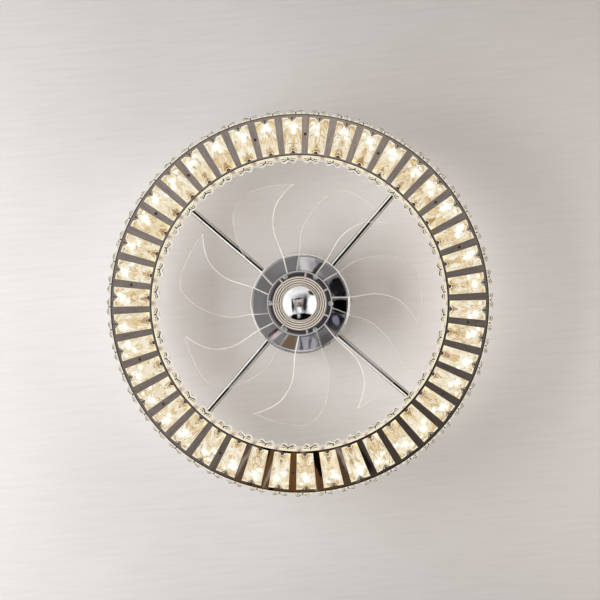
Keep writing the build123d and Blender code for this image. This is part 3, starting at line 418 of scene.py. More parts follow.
def wall_crystal(name, count, first_place, foot_radius, outward, width):
    """Cut glass on one of the ring's walls: clear, with a painted glow, painted cream where the light comes
    in, and painted dark along its cuts.
    """
    made, tree, shader = material(name, Base_Color=(1, 0.99, 0.965, 1), Roughness=0, IOR=1.5,
                                  Transmission_Weight=1)
    bumped(shader, grain(tree, 220, 2), 0.1, 0.0003)
    radius, angle, height = polar(tree)
    number, offset = nearest_place(angle, first_place, 360 / count)
    along_wall = offset * (2 * pi / count * foot_radius)
    side = abs(along_wall) / (width / 2)
    out = (radius - foot_radius) * outward

    # The crystal's section: how far it stands out of the wall, by three lines over its half width
    lines = ((5.8 * MM, 4 * MM), (-5.7 * MM, 10 * MM), (-19.5 * MM, 21 * MM))
    section = lowest(*(side * slope + start for slope, start in lines))
    share = out / section
    from_end = lowest(height - WALL_CRYSTAL_LOW, WALL_CRYSTAL_HIGH - height)
    on_bevel = spread(from_end, 8.6 * MM, 9.4 * MM, 1, 0)

    # Painted dark strokes along the contour, one inside it and a groove in the middle, standing in for how
    # the cut glass bends the light
    wild = noise(combined(along_wall * 160, out * 160, number), 1, 2)
    bent = share + (wild * 0.36 - 0.18)
    wings = spread(side, 0.6, 0.8, 1, 0.5)
    contour = near(bent, 0.92, 0.11, 0.05) * wings
    broken = spread(noise(combined(along_wall * 260, number, 0), 1, 2), 0.34, 0.44)
    inner_line = near(bent, 0.56, 0.04, 0.05) * near(side, 0.5, 0.26, 0.08)
    groove = near(side, 0, 0.05, 0.05) * near(share, 0.66, 0.3, 0.1)
    painted_strokes = highest(inner_line, groove, contour * broken) * on_bevel
    # Painted dark lines along the sharp edges as well
    dark = highest(painted_strokes, cut_edges(tree, 0.8 * MM) * 0.45)

    # Painted cream where the light comes in at the foot, and a painted highlight line
    foot = spread(out, 0.9 * MM, 2.2 * MM, 1, 0) * on_bevel
    painted_gleam = near(bent, 0.75, 0.04, 0.05) * near(wild, 0.6, 0.1, 0.05)
    cream = highest(foot, painted_gleam)
    shade = split(random_cells(combined(along_wall * 240, height * 60, number)), "Color")[0]
    body = mixed(cream, mixed(shade, (255, 252, 244), (232, 220, 200)), (255, 244, 214))
    # Painted glow: an emission that stands in for the diodes' light through the glass
    light = emission(mixed(dark, body, (44, 37, 28)), 0.96)
    lit = mixed_shaders(highest(dark, 0.78), Value(shader), light)
    clear = result(tree, "BsdfTransparent", {"Color": (0.98, 0.975, 0.97, 1)})
    show(mixed_shaders(highest(dark, cream, on_bevel * -0.72 + 1), clear, lit))
    return unsampled(made)


def facet(limit, value):
    """1 where the value is under the limit, with a narrow soft edge."""
    return spread(limit - value, -0.02, 0.035)


def window_crystal():
    """A crystal of the underside, painted as lit from behind: a painted glow with painted hot spots, painted
    amber corners and painted shading of crossing facets.
    """
    made, tree, shader = material("window_crystal", Base_Color=(1, 0.985, 0.95, 1), Roughness=0, IOR=1.52,
                                  Transmission_Weight=1)
    bumped(shader, grain(tree, 200, 2), 0.12, 0.0003)
    radius, angle, _ = polar(tree)
    number, across = window_places(angle)
    along = spread(radius, WINDOW_INNER, WINDOW_OUTER)
    chances = split(result(tree, "TexWhiteNoise", {"W": number}, "Color", noise_dimensions="1D"), "Color")
    bent = noise(combined(across, along * 1.4, number), 2.3, 2)
    side = abs(across + (bent * 0.5 - 0.25))

    # Shards: facets of random tone that lean in from both sides, with a line between neighbours
    leaning = combined(side * 3.6 + along * 3, along * 4.4, number * 5.3)
    shade, _, line_chance = split(random_cells(leaning), "Color")
    inputs = {"Vector": leaning, "Scale": 1}
    gap = result(tree, "TexVoronoi", inputs, "Distance", feature="DISTANCE_TO_EDGE")
    line = spread(gap, 0.035, 0.09, 1, 0)
    fine = noise(combined(across * 7 + along * 9, along * 5, number), 3.2, 3, 0.65)

    # The cut's own facets
    middle = abs(along * 3 - 1.3)
    lens = facet(middle * -0.4 + 0.4, side)
    wedge = facet(along * -2.1 + 0.6, side)
    corner = facet(side * 0.22 + along, 1)
    flank = facet(side, middle * 0.5 + 0.6)

    # Painted hot spots of the diodes behind, each crystal's at its own places, and one low, yellow painted
    # glint
    spot_side = spread(chances[0], 0, 1, -0.5, 0.5)
    other_side = spread(chances[1], 0, 1, 0.95, -0.95)
    third_side = spread(chances[2], 0, 1, -0.8, 0.8)
    low_side = calc("SIGN", chances[2] - 0.5) * 0.86
    spot = soft_spot(across, along, (spot_side, 0.72), (0.27, 0.058))
    other = soft_spot(across, along, (other_side, 0.58), (0.2, 0.045))
    third = soft_spot(across, along, (third_side, 0.84), (0.14, 0.03))
    low = soft_spot(across, along, (low_side, 0.06), (0.17, 0.045))
    painted_halo = soft_spot(across, along, (spot_side, 0.7), (0.75, 0.17))
    painted_hot_spots = (other * 0.9 + spot + third) * spread(fine, 0.35, 0.6, 0.35, 1.15)

    # Painted shading: the glass is darker the further down the ramp; each mark moves it by its amount, the
    # facets into painted shade and the halo and hot spots into painted light
    painted_shading = shade * 0.4 + (fine * 0.5 - 0.08)
    marks = ((lens, 0.12), (wedge, 0.34), (corner, 0.22), (flank, 0.08), (painted_halo, -0.24), (painted_hot_spots, -0.8))
    for mark, amount in marks:
        painted_shading = mark * amount + painted_shading
    body = ramp(painted_shading, (
        (0, (255, 255, 244)),
        (0.22, (255, 246, 222)),
        (0.46, (243, 221, 176)),
        (0.7, (219, 185, 132)),
        (1, (168, 128, 80)),
    ))
    # Painted brown chevrons on the wedge, painted dark and pale lines between the shards, and the painted
    # yellow glint
    chevrons = spread(calc("SINE", (side * 0.45 + along) * 105), 0.1, 0.7, 0, 0.75) * wedge
    body = mixed(chevrons, body, (150, 112, 70))
    body = mixed(line * spread(line_chance, 0.55, 0.6, 0, 0.8), body, (178, 142, 96))
    body = mixed(line * spread(line_chance, 0.5, 0.46, 0, 0.9), body, (255, 252, 240))
    body = mixed(low, body, (255, 216, 84))

    # A painted shadow and image of the plate's tongues as a V at both ends, and painted pale highlights
    # along the crystal's own edges
    from_end = lowest(radius - WINDOW_INNER, WINDOW_OUTER - radius)
    reach = abs(across) * (-14 * MM) + 5.8 * MM
    painted_tongue_shadow = spread(reach - from_end, -0.3 * MM, 0.5 * MM, 0, 0.95)
    rim = spread(highest(abs(across), abs(along * 2 - 1)), 0.9, 0.94, 0, 0.9)
    cuts = highest(rim, cut_edges(tree, 0.45 * MM) * 0.75)
    glow = mixed(painted_tongue_shadow, mixed(cuts, body, (255, 249, 224)), (96, 86, 76))
    # The whole is painted light: an emission for the diodes' light through the glass, strongest at the
    # painted hot spots
    light = emission(glow, painted_hot_spots * 1.3 + 0.93 + low * 0.5)
    show(mixed_shaders(highest(painted_tongue_shadow, 0.91), Value(shader), light))
    return unsampled(made)


def clear_plastic():
    """Clear moulded sheet: it mirrors a little, more at a slant, and lets the rest straight through.

    Away from the hub a faint painted sheen glows in soft clouds.
    """
    made, tree = bare_material("clear_plastic")
    flow = grain(tree, 14, 2)
    bump = result(tree, "Bump", {"Height": flow, "Strength": 0.04, "Distance": 0.0004})
    tint = mixed(flow, (0.992, 0.988, 0.988, 1), (1, 0.997, 0.995, 1))
    clear = result(tree, "BsdfTransparent", {"Color": tint})
    gloss = result(tree, "BsdfGlossy", {"Color": (1, 1, 1, 1), "Roughness": 0.08, "Normal": bump})
    slant = result(tree, "Fresnel", {"IOR": 1.22, "Normal": bump})
    # Painted sheen: a faint glow in soft clouds away from the hub
    painted_sheen = result(tree, "Emission", {"Color": (255, 250, 246), "Strength": 0.8})
    cloud = spread(grain(tree, 9, 1), 0.42, 0.7, 0, 0.14)
    veil = cloud * spread(polar(tree)[0], 70 * MM, 100 * MM)
    show(mixed_shaders(veil, mixed_shaders(slant, clear, gloss), painted_sheen))
    return made


def blade_edge_painted_highlight(name, faintest, strongest):
    """The blades' rounded borders, painted pale and glowing a little as a painted highlight for the light
    that the edge of any clear sheet gathers.
    """
    made, tree, shader = material(name, Base_Color=(244, 238, 233), Roughness=0.3, IOR=1.49,
                                  Emission_Color=(255, 250, 244), Emission_Strength=0.12)
    bumped(shader, grain(tree, 300), 0.05)
    solid = spread(grain(tree, 22, 2), 0.35, 0.62, faintest, strongest)
    show(mixed_shaders(solid, result(tree, "BsdfTransparent"), Value(shader)))
    return made


def milky_plastic():
    """The hub of the same moulding, thick and ribbed, so it looks pale; its ripples' valleys have painted
    shade.
    """
    made, tree, shader = material("hub_plastic", Roughness=0.12, IOR=1.49, Transmission_Weight=0.15)
    radius, angle, height = polar(tree)
    pale = mixed(grain(tree, 90), (238, 231, 220), (216, 204, 190))
    first_ripple, step = ripple_places()
    painted_valley_shade = spread(calc("COSINE", (radius - first_ripple) * (2 * pi / step)), 0.1, -0.6, 0, 0.95)
    from_middle = abs(radius - (first_ripple + DISC_RADIUS) / 2)
    half_band = (DISC_RADIUS - first_ripple) / 2
    on_disc = spread(from_middle, half_band + 1.4 * MM, half_band + 0.9 * MM)
    low = spread(height, disc_z + 0.3 * MM, disc_z + 0.05 * MM)
    feed(shader, Base_Color=mixed(painted_valley_shade * on_disc * low, pale, (92, 80, 68)))
    bumped(shader, noise(combined(radius * TURNING_LINES, angle, 0), 1), 0.1)
    return made


def rib_plastic():
    """Ribs and rim: the thinner moulding, greyer, with a faint painted glow all over that stands in for the
    light its edges gather.
    """
    made, tree, shader = material("rib_plastic", Roughness=0.15, IOR=1.49, Transmission_Weight=0.2,
                                  Emission_Color=(226, 222, 222), Emission_Strength=0.08)
    feed(shader, Base_Color=mixed(grain(tree, 120), (190, 182, 181), (160, 152, 151)))
    bumped(shader, grain(tree, 400), 0.06)
    return made


def lit_diode():
    """Warm phosphor, brighter in some grains."""
    made, tree, shader = material("warm_diode", Base_Color=(255, 226, 150), Roughness=0.3,
                                  Emission_Color=(255, 226, 168))
    feed(shader, Emission_Strength=spread(grain(tree, 900), 0.3, 0.7, 1.1, 1.7))
    return unsampled(made)


def board_with_painted_glow():
    """White solder mask over copper tracks, with a painted glow for the light of its own diodes."""
    made, tree, shader = material("circuit_board", Roughness=0.35, Emission_Strength=0.85)
    radius, angle, _ = polar(tree)
    step = spread(noise(combined(radius * 260, angle * 8, 0), 1), 0.52, 0.54)
    feed(shader, Base_Color=mixed(step, (250, 240, 216), (236, 214, 170)),
         Emission_Color=mixed(step, (255, 236, 196), (255, 220, 160)))
    bumped(shader, step, 0.1, 0.0001)
    return made


def speckled(name, base, fleck, scale, roughness, metallic=0, bump=0.1):
    """Moulded, cast or painted surface: two close tones in a fine grain, with the same grain as bump."""
    made, tree, shader = material(name, Metallic=metallic)
    fine = grain(tree, scale, 4)
    feed(shader, Base_Color=mixed(spread(fine, 0.35, 0.65), base, fleck),
         Roughness=spread(grain(tree, scale / 12), 0.3, 0.7, roughness, roughness * 1.5))
    bumped(shader, fine, bump)
    return made


def banded(name, base, groove, pitch, roughness):
    """Metal layers stacked along Z, such as laminations and wound wire."""
    made, tree, shader = material(name, Metallic=1, Roughness=roughness)
    wave = calc("SINE", split(local(tree))[2] * (2 * pi / pitch))
    band = wave * 0.5 + grain(tree, 300)
    feed(shader, Base_Color=mixed(spread(band, 0.2, 0.8), groove, base))
    bumped(shader, band, 0.3, 0.0001)
    return made


def spangled_zinc():
    """Zinc-plated steel with faint crystals."""
    made, tree, shader = material("zinc_steel", Metallic=1)
    shade = split(random_cells(local(tree), 160), "Color")[0]
    feed(shader, Base_Color=mixed(shade, (205, 207, 212), (176, 180, 188)),
         Roughness=spread(shade, 0, 1, 0.22, 0.36))
    bumped(shader, grain(tree, 700), 0.08)
    return made


def screw_zinc_painted_glint():
    """The motor screws' passivated zinc: pale with a trace of teal, and a faint painted glow for their
    glints.
    """
    made, tree, shader = material("screw_zinc_painted_glint", Metallic=1, Roughness=0.25,
                                  Emission_Color=(206, 228, 232), Emission_Strength=0.2)
    feed(shader, Base_Color=mixed(grain(tree, 500), (236, 246, 248), (170, 196, 204)))
    bumped(shader, grain(tree, 1500), 0.1)
    return made


def inner_wall_steel():
    """The inner wall's steel, with painted amber light where light leaks beside each crystal's foot, and a
    faint painted glow all over.
    """
    steel = (206, 200, 196)
    made = turned_steel("inner_wall_steel", steel, (190, 183, 178), 0.1, 0.2)
    tree = made.node_tree
    _, angle, height = polar(tree)
    turns = angle / radians(INNER_PITCH) + 0.5
    across = (turns - calc("ROUND", turns)) * INNER_PITCH
    # Painted amber light beside each crystal's foot, and a faint painted glow over the whole wall
    amber = soft_spot(across, height, (0, plate_z + 14 * MM), (0.75, 30 * MM))
    feed(tree.nodes["Principled BSDF"],
         Base_Color=mixed(amber, steel, (92, 58, 18)),
         Emission_Color=mixed(amber, (255, 242, 218), (190, 112, 12)),
         Emission_Strength=spread(grain(tree, 200), 0.35, 0.65, 0.22, 0.34))
    return unsampled(made)


# How each plain finish is made, its name in the CAD, and its settings in the order of its function
FINISHES = (
    (turned_steel, "polished_steel", (206, 200, 196), (190, 183, 178), 0.08, 0.16),
    (turned_steel, "bearing_steel", (214, 214, 216), (200, 200, 203), 0.08, 0.16),
    (turned_steel, "terminal_brass", (206, 170, 96), (186, 148, 76), 0.2, 0.32),
    (chrome, "chrome", (214, 214, 217), 0, 0.02),
    (chrome, "mirror_cap", (244, 244, 245), 0, 0.015),
    (banded, "lamination", (150, 150, 154), (84, 84, 90), 0.5 * MM, 0.4),
    (banded, "copper", (196, 112, 66), (120, 58, 30), 0.7 * MM, 0.3),
    (speckled, "cast_aluminium", (186, 187, 188), (160, 161, 163), 420, 0.38, 1, 0.25),
    (speckled, "ferrite", (62, 61, 62), (44, 43, 45), 900, 0.5, 0, 0.15),
    (speckled, "white_paint", (240, 238, 233), (230, 227, 221), 500, 0.42, 0, 0.12),
    (speckled, "white_case", (233, 233, 230), (224, 224, 220), 800, 0.45),
    (speckled, "terminal_plastic", (218, 216, 206), (206, 203, 192), 700, 0.4),
    (speckled, "black_rubber", (34, 34, 35), (24, 24, 25), 600, 0.65, 0, 0.2),
    (speckled, "white_lead", (226, 224, 220), (214, 211, 206), 500, 0.4),
    (speckled, "grey_plastic", (120, 122, 126), (106, 108, 112), 700, 0.45),
)
finishes = {name: finish(name, *settings) for finish, name, *settings in FINISHES}
finishes["zinc_steel"] = spangled_zinc()
finishes["clear_plastic"] = clear_plastic()
finishes["circuit_board"] = board_with_painted_glow()
finishes["warm_diode"] = lit_diode()
finishes["crystal"] = wall_crystal(
    "outer_crystal", count=52, first_place=3.46, foot_radius=ring_radius, outward=1, width=25.5 * MM)
for cad_node in nodes.values():
    cad_node.data.materials[0] = finishes[cad_node.data.materials[0].name]

own_finishes = {
    "ring_bottom_plate": plate_steel(),
    "bottom_crystals": window_crystal(),
    "inner_crystals": wall_crystal(
        "inner_crystal", count=40, first_place=0, foot_radius=ring_inner_radius, outward=-1, width=23 * MM),
    "canopy": canopy_chrome(),
    "ring_inner_wall_1": inner_wall_steel(),
    "ring_inner_wall_2": inner_wall_steel(),
}
for number in range(1, 5):
    own_finishes[f"arm_{number}"] = chrome_rod_painted_streaks(f"rod_{number}", -1 if number % 2 else 1)
for node_name, finish in own_finishes.items():
    nodes[node_name].data.materials[0] = finish


# Mesh helpers


def placed(name, data):
    """A new object in the scene, with the mesh, light or camera that is its data."""
    made = bpy.data.objects.new(name, data)
    scene.collection.objects.link(made)
    return made


def mesh_object(name, shape):
    """A new object from a bmesh, which this uses up."""
    mesh = bpy.data.meshes.new(name)
    shape.to_mesh(mesh)
    shape.free()
    return placed(name, mesh)


def removed(helper):
    """Removes a helper object and its mesh."""
    mesh = helper.data
    bpy.data.objects.remove(helper)
    bpy.data.meshes.remove(mesh)


def finished(piece, materials, body, sharp_angle=35):
    """Makes a piece smooth but for its sharp edges, dresses it and lets it ride on its body."""
    for one in materials:
        piece.data.materials.append(one)
    piece.data.shade_smooth()
    piece.data.set_sharp_from_angle(angle=radians(sharp_angle))
    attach(piece, body)
    return piece


def modified(shape, kind, **settings):
    """The mesh that a bmesh becomes through a modifier."""
    holder = mesh_object("holder", shape)
    modifier = holder.modifiers.new(kind, kind)
    for key, value in settings.items():
        setattr(modifier, key, value)
    bpy.context.view_layer.update()
    mesh = bpy.data.meshes.new_from_object(holder.evaluated_get(bpy.context.evaluated_depsgraph_get()))
    removed(holder)
    return mesh


def lathe(shape, profile, steps, closed=True):
    """Adds to a bmesh the profile of (radius, z) points turned once about Z."""
    rings = []
    for step in range(steps):
        turn = 2 * pi * step / steps
        rings.append([shape.verts.new((r * cos(turn), r * sin(turn), z)) for r, z in profile])
    count = len(profile)
    for step in range(steps):
        here, there = rings[step], rings[(step + 1) % steps]
        for index in range(count if closed else count - 1):
            after = (index + 1) % count
            shape.faces.new((here[index], there[index], there[after], here[after]))
    bmesh.ops.remove_doubles(shape, verts=shape.verts, dist=1e-7)
    bmesh.ops.recalc_face_normals(shape, faces=shape.faces)


def arc(centre_r, centre_z, radius, start, end, steps):
    """Points of an arc in the profile's plane; angles in degrees, 0 outwards and 90 up."""
    turns = [radians(start + (end - start) * step / steps) for step in range(steps + 1)]
    return [(centre_r + radius * cos(turn), centre_z + radius * sin(turn)) for turn in turns]


def smooth_line(points, share):
    """A point on the smooth line through the given points, at this share of its knots (0 to 1)."""
    place = min(max(share, 0), 1) * (len(points) - 1)
    index = min(int(place), len(points) - 2)
    s = place - index
    around = [points[min(max(index + offset, 0), len(points) - 1)] for offset in (-1, 0, 1, 2)]
    return [
        (2 * s**3 - 3 * s**2 + 1) * here + (s**3 - 2 * s**2 + s) * (there - before) / 2
        + (3 * s**2 - 2 * s**3) * there + (s**3 - s**2) * (after - here) / 2
        for before, here, there, after in zip(*around)
    ]


# The impeller: one clear moulding. Its hub is turned, and its blades are skins over their outlines.

BLADE_COUNT = 7
RIM_RADIUS = 42.4 * MM
RIM_WALL = 1.5 * MM
DISC_RADIUS = 35.3 * MM
DISC_THICKNESS = 3 * MM
CUP_WALL = 1.8 * MM
CUP_HEIGHT = 18 * MM
BOSS_RADIUS = 10 * MM
BORE_RADIUS = 4.1 * MM
RIPPLE_RADIUS = 0.8 * MM
RIPPLE_COUNT = 4
RIB_START = 28.7  # degrees
RIB_THICKNESS = 2 * MM
RIB_HEIGHT = 16 * MM
RIB_BELOW_DISC = 0.25 * MM
RIB_ROUND = 0.6 * MM
BLADE_THICKNESS = 1.8 * MM
BLADE_RISE = 0.68 * MM  # per degree
BLADE_PHASE = 4.5  # degrees
EDGE_ROUND = 0.5 * MM
BALL_RADIUS = 33 * MM  # of the mirror dome
DOME_FLAT_RADIUS = 22.5 * MM
LEADING_BORDER = 0.75 * MM
TRAILING_BORDER = 0.6 * MM
TIP_BORDER = 0.6 * MM
BLADE_ROWS, BLADE_COLUMNS = 37, 24
TURN_STEPS = 160
ARC_STEPS = 8

rim_top_z = impeller_high.z
disc_z = washer_high.z
rim_bottom_z = disc_z - 1.9 * MM
blade_middle_z = (rim_top_z + rim_bottom_z) / 2
nut_radius = nut_high.x
tip_radius = 159 * MM
root_radius = RIM_RADIUS - RIM_WALL / 2
blade_reach = tip_radius - root_radius

# Share of the way from the rim to the tip, and degrees round the axis as seen from below
LEADING_EDGE = ((0, 10.2), (0.2, 7.1), (0.472, 7.3), (0.648, 4.5), (0.797, -0.2), (0.981, -9.8))
TRAILING_EDGE = ((0, 43.7), (0.214, 38.6), (0.404, 37.6), (0.607, 32.6), (0.831, 25.7), (0.96, 20))
BLADE_ROOT = (LEADING_EDGE[0], TRAILING_EDGE[0])
BLADE_TIP = ((0.981, -9.8), (0.992, 2), (0.997, 14), (0.96, 20))
MIDDLE_ANGLES = ((-0.01, 27), (0.214, 22.9), (0.431, 22), (0.634, 19), (0.824, 12), (1.04, 2))


def middle_angle(share):
    """The angle at which the blade crosses its middle height, at this share of its reach."""
    for (low, first), (high, second) in zip(MIDDLE_ANGLES, MIDDLE_ANGLES[1:]):
        if share <= high:
            return first + (second - first) * (share - low) / (high - low)
    return MIDDLE_ANGLES[-1][1]


def blade_point(share, angle):
    radius = root_radius + share * blade_reach
    azimuth = radians(BLADE_PHASE - angle)
    height = blade_middle_z - BLADE_RISE * (angle - middle_angle(share))
    return (radius * cos(azimuth), radius * sin(azimuth), height)


def blade_steps(count, start_border, end_border):
    """Shares from 0 to 1 in even steps, with a narrow step at an end that has a border."""
    inside = [start_border + (1 - start_border - end_border) * step / count for step in range(count + 1)]
    return ([0] if start_border else []) + inside + ([1] if end_border else [])


def blade_width(t):
    """The way along the arc from the leading edge to the trailing edge, in metres."""
    lead, trail = smooth_line(LEADING_EDGE, t), smooth_line(TRAILING_EDGE, t)
    return (root_radius + (lead[0] + trail[0]) / 2 * blade_reach) * radians(trail[1] - lead[1])


def between_edges(u, t):
    """Share and angle at u from the leading to the trailing edge and t from the root to the tip."""
    return [
        (1 - u) * lead + u * trail + (1 - t) * root + t * tip
        - (1 - u) * ((1 - t) * lead_root + t * lead_tip) - u * ((1 - t) * trail_root + t * trail_tip)
        for lead, trail, root, tip, lead_root, trail_root, lead_tip, trail_tip in zip(
            smooth_line(LEADING_EDGE, t), smooth_line(TRAILING_EDGE, t),
            smooth_line(BLADE_ROOT, u), smooth_line(BLADE_TIP, u),
            *BLADE_ROOT, BLADE_TIP[0], BLADE_TIP[-1],
        )
    ]


def blades():
    """Seven thin skins over their outlines; the last row and the outer columns are the bright borders."""
    shape = bmesh.new()
    for number in range(BLADE_COUNT):
        grid = []
        for t in blade_steps(BLADE_ROWS - 1, 0, TIP_BORDER / blade_reach):
            width = blade_width(t)
            across = blade_steps(BLADE_COLUMNS - 2, LEADING_BORDER / width, TRAILING_BORDER / width)
            grid.append([shape.verts.new(blade_point(*between_edges(u, t))) for u in across])
        for row in range(BLADE_ROWS):
            for column in range(BLADE_COLUMNS):
                face = shape.faces.new((grid[row][column], grid[row][column + 1],
                                        grid[row + 1][column + 1], grid[row + 1][column]))
                if column == 0:
                    face.material_index = 1
                elif row == BLADE_ROWS - 1 or column == BLADE_COLUMNS - 1:
                    face.material_index = 2
        bmesh.ops.rotate(shape, verts=[vert for line in grid for vert in line], cent=(0, 0, 0),
                         matrix=Matrix.Rotation(2 * pi * number / BLADE_COUNT, 3, "Z"))
    bmesh.ops.recalc_face_normals(shape, faces=shape.faces)
    skins = placed("impeller_blades", modified(shape, "SOLIDIFY", thickness=BLADE_THICKNESS, offset=0))
    edges = (blade_edge_painted_highlight("leading_edge", 0.45, 0.9), blade_edge_painted_highlight("trailing_edge", 0.1, 0.5))
    return finished(skins, [finishes["clear_plastic"], *edges], "rotor", sharp_angle=60)


def ripple_places():
    """Radius of the first ripple, and the step from one to the next."""
    ripple_inner = nut_radius + 2 * RIPPLE_RADIUS
    ripple_outer = DISC_RADIUS - 2 * RIPPLE_RADIUS
    return ripple_inner, (ripple_outer - ripple_inner) / (RIPPLE_COUNT - 1)


def hub_profile():
    ripple_inner, step = ripple_places()
    points = [(BORE_RADIUS, disc_z)]
    for number in range(RIPPLE_COUNT):
        points += arc(ripple_inner + number * step, disc_z, RIPPLE_RADIUS, 180, 360, ARC_STEPS)
    points += arc(DISC_RADIUS - EDGE_ROUND, disc_z + EDGE_ROUND, EDGE_ROUND, -90, 0, 4)
    cup_end = CUP_WALL / 2
    points += arc(DISC_RADIUS - cup_end, disc_z + CUP_HEIGHT - cup_end, cup_end, 0, 180, ARC_STEPS)
    points += [(DISC_RADIUS - CUP_WALL, disc_z + DISC_THICKNESS), (BOSS_RADIUS, disc_z + DISC_THICKNESS)]
    points += [(BOSS_RADIUS, rim_top_z), (BORE_RADIUS, rim_top_z)]
    return points


def hub():
    """The turned disc, cup and boss, the rim round them and the seven ribs between."""
    shape = bmesh.new()
    lathe(shape, hub_profile(), TURN_STEPS)
    disc_faces = set(shape.faces)
    rim_profile = arc(root_radius, rim_bottom_z + RIM_WALL / 2, RIM_WALL / 2, 180, 360, ARC_STEPS)
    rim_profile += arc(root_radius, rim_top_z - RIM_WALL / 2, RIM_WALL / 2, 0, 180, ARC_STEPS)
    lathe(shape, rim_profile, TURN_STEPS)
    low = disc_z - RIPPLE_RADIUS - RIB_BELOW_DISC
    size = (root_radius - BOSS_RADIUS, RIB_THICKNESS, disc_z + RIB_HEIGHT - low, 1)
    middle = Matrix.Translation(((root_radius + BOSS_RADIUS) / 2, 0, low + size[2] / 2))
    for number in range(BLADE_COUNT):
        turn = Matrix.Rotation(radians(RIB_START + number * 360 / BLADE_COUNT), 4, "Z")
        made = bmesh.ops.create_cube(shape, size=1, matrix=turn @ middle @ Matrix.Diagonal(size))
        low_edges = {
            edge for vert in made["verts"] for edge in vert.link_edges
            if all(end.co.z < low + MM for end in edge.verts) and edge.calc_length() > 10 * MM
        }
        bmesh.ops.bevel(shape, geom=list(low_edges), offset=RIB_ROUND, segments=3, affect="EDGES",
                        profile=0.5)
    for face in shape.faces:
        face.material_index = 0 if face in disc_faces else 1
    piece = mesh_object("impeller_hub", shape)
    return finished(piece, [milky_plastic(), rib_plastic()], "rotor")


def dome():
    """The mirror nut: a shallow dome to near its rim, where a small round turns up into the skirt."""
    shape = bmesh.new()
    dome_angle = degrees(asin(DOME_FLAT_RADIUS / BALL_RADIUS))
    profile = arc(0, nut_low.z + BALL_RADIUS, BALL_RADIUS, -90, -90 + dome_angle, 40)
    edge_r, edge_z = profile[-1]
    turn = radians(90 - dome_angle)
    round_radius = (nut_radius - edge_r) / (1 - cos(turn))
    centre_z = edge_z + round_radius * sin(turn)
    profile += arc(nut_radius - round_radius, centre_z, round_radius, -90 + dome_angle, 0, ARC_STEPS)[1:]
    profile += [(nut_radius, nut_high.z), (0, nut_high.z)]
    lathe(shape, profile, TURN_STEPS, closed=False)
    piece = mesh_object("mirror_dome", shape)
    return finished(piece, [finishes["mirror_cap"]], "rotor", sharp_angle=50)


blade_skins = blades()
blade_skins.visible_shadow = False
hub_piece = hub()
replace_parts(hub_piece, "fan_impeller")
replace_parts(dome(), "spinner_nut")


# Screws with domed heads and cross recesses, in place of the plain ones

SCREW_TURN = 2.4  # from one screw's cross to the next one's, in radians


def cross_screw(head_radius, head_height, shank_radius, length):
    """The mesh of one screw that hangs head down: Z = 0 is its seat."""
    shape = bmesh.new()
    bulge = (head_radius**2 + head_height**2) / (2 * head_height)
    profile = [(0, length), (shank_radius, length), (shank_radius, 0), (head_radius, 0)]
    for step in range(1, ARC_STEPS + 1):
        radius = head_radius * (1 - step / ARC_STEPS)
        profile.append((radius, bulge - head_height - sqrt(bulge**2 - radius**2)))
    lathe(shape, profile, 40, closed=False)
    cutter = bmesh.new()
    size = (1.25 * head_radius, 0.34 * head_radius, 1.2 * head_height, 1)
    bar = Matrix.Translation((0, 0, -head_height)) @ Matrix.Diagonal(size)
    for turn in (0, pi / 2):
        bmesh.ops.create_cube(cutter, size=1, matrix=Matrix.Rotation(turn, 4, "Z") @ bar)
    tool = mesh_object("cross", cutter)
    mesh = modified(shape, "BOOLEAN", object=tool, operation="DIFFERENCE", use_self=True)
    removed(tool)
    return mesh


def screw_group(name, one, places, seat_z, made_material):
    """Copies of one screw's mesh at (radius, angle) places, each turned by its own amount."""
    shape = bmesh.new()
    for number, (radius, angle) in enumerate(places):
        before = len(shape.verts)
        shape.from_mesh(one)
        shape.verts.ensure_lookup_table()
        place = Matrix.Rotation(radians(angle), 4, "Z") @ Matrix.Translation((radius, 0, seat_z))
        turned = place @ Matrix.Rotation(number * SCREW_TURN, 4, "Z")
        bmesh.ops.transform(shape, matrix=turned, verts=shape.verts[before:])
    return finished(mesh_object(name, shape), [made_material], "root")


def node_centres(node_name):
    """(radius, angle) of each separate solid of a CAD node, found from its mesh."""
    shape = bmesh.new()
    shape.from_mesh(nodes[node_name].data)
    bmesh.ops.remove_doubles(shape, verts=shape.verts, dist=1e-6)
    reached, found = set(), []
    for start in shape.verts:
        if start in reached:
            continue
        group = [start]
        reached.add(start)
        for here in group:  # grows while it is walked
            for edge in here.link_edges:
                there = edge.other_vert(here)
                if there not in reached:
                    reached.add(there)
                    group.append(there)
        lines = ([vert.co[axis] for vert in group] for axis in (0, 1))
        x, y = ((min(line) + max(line)) / 2 for line in lines)
        found.append((hypot(x, y), degrees(atan2(y, x))))
    shape.free()
    return sorted(found, key=lambda place: place[1])


screw_steel = turned_steel("screw_steel", (92, 86, 82), (74, 69, 66), 0.1, 0.2)
ring_screw = cross_screw(head_radius=2 * MM, head_height=1.2 * MM, shank_radius=1.2 * MM, length=6 * MM)
ring_places = node_centres("ring_bottom_screws")
ring_screws = screw_group("ring_plate_screws", ring_screw, ring_places, plate_z, screw_steel)
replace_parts(ring_screws, "ring_bottom_screws")
canopy_screw = cross_screw(head_radius=3.4 * MM, head_height=2.2 * MM, shank_radius=2 * MM, length=5 * MM)
canopy_places = node_centres("motor_screws")
canopy_screws = screw_group("motor_head_screws", canopy_screw, canopy_places, canopy_z, screw_zinc_painted_glint())
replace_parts(canopy_screws, "motor_screws")


# Stage: ceiling, floor and what the mirrors reflect


def stage_object(name, shape, made_material):
    """A piece of the room, which is no part of the fan."""
    made = mesh_object(name, shape)
    made.data.materials.append(made_material)
    return made


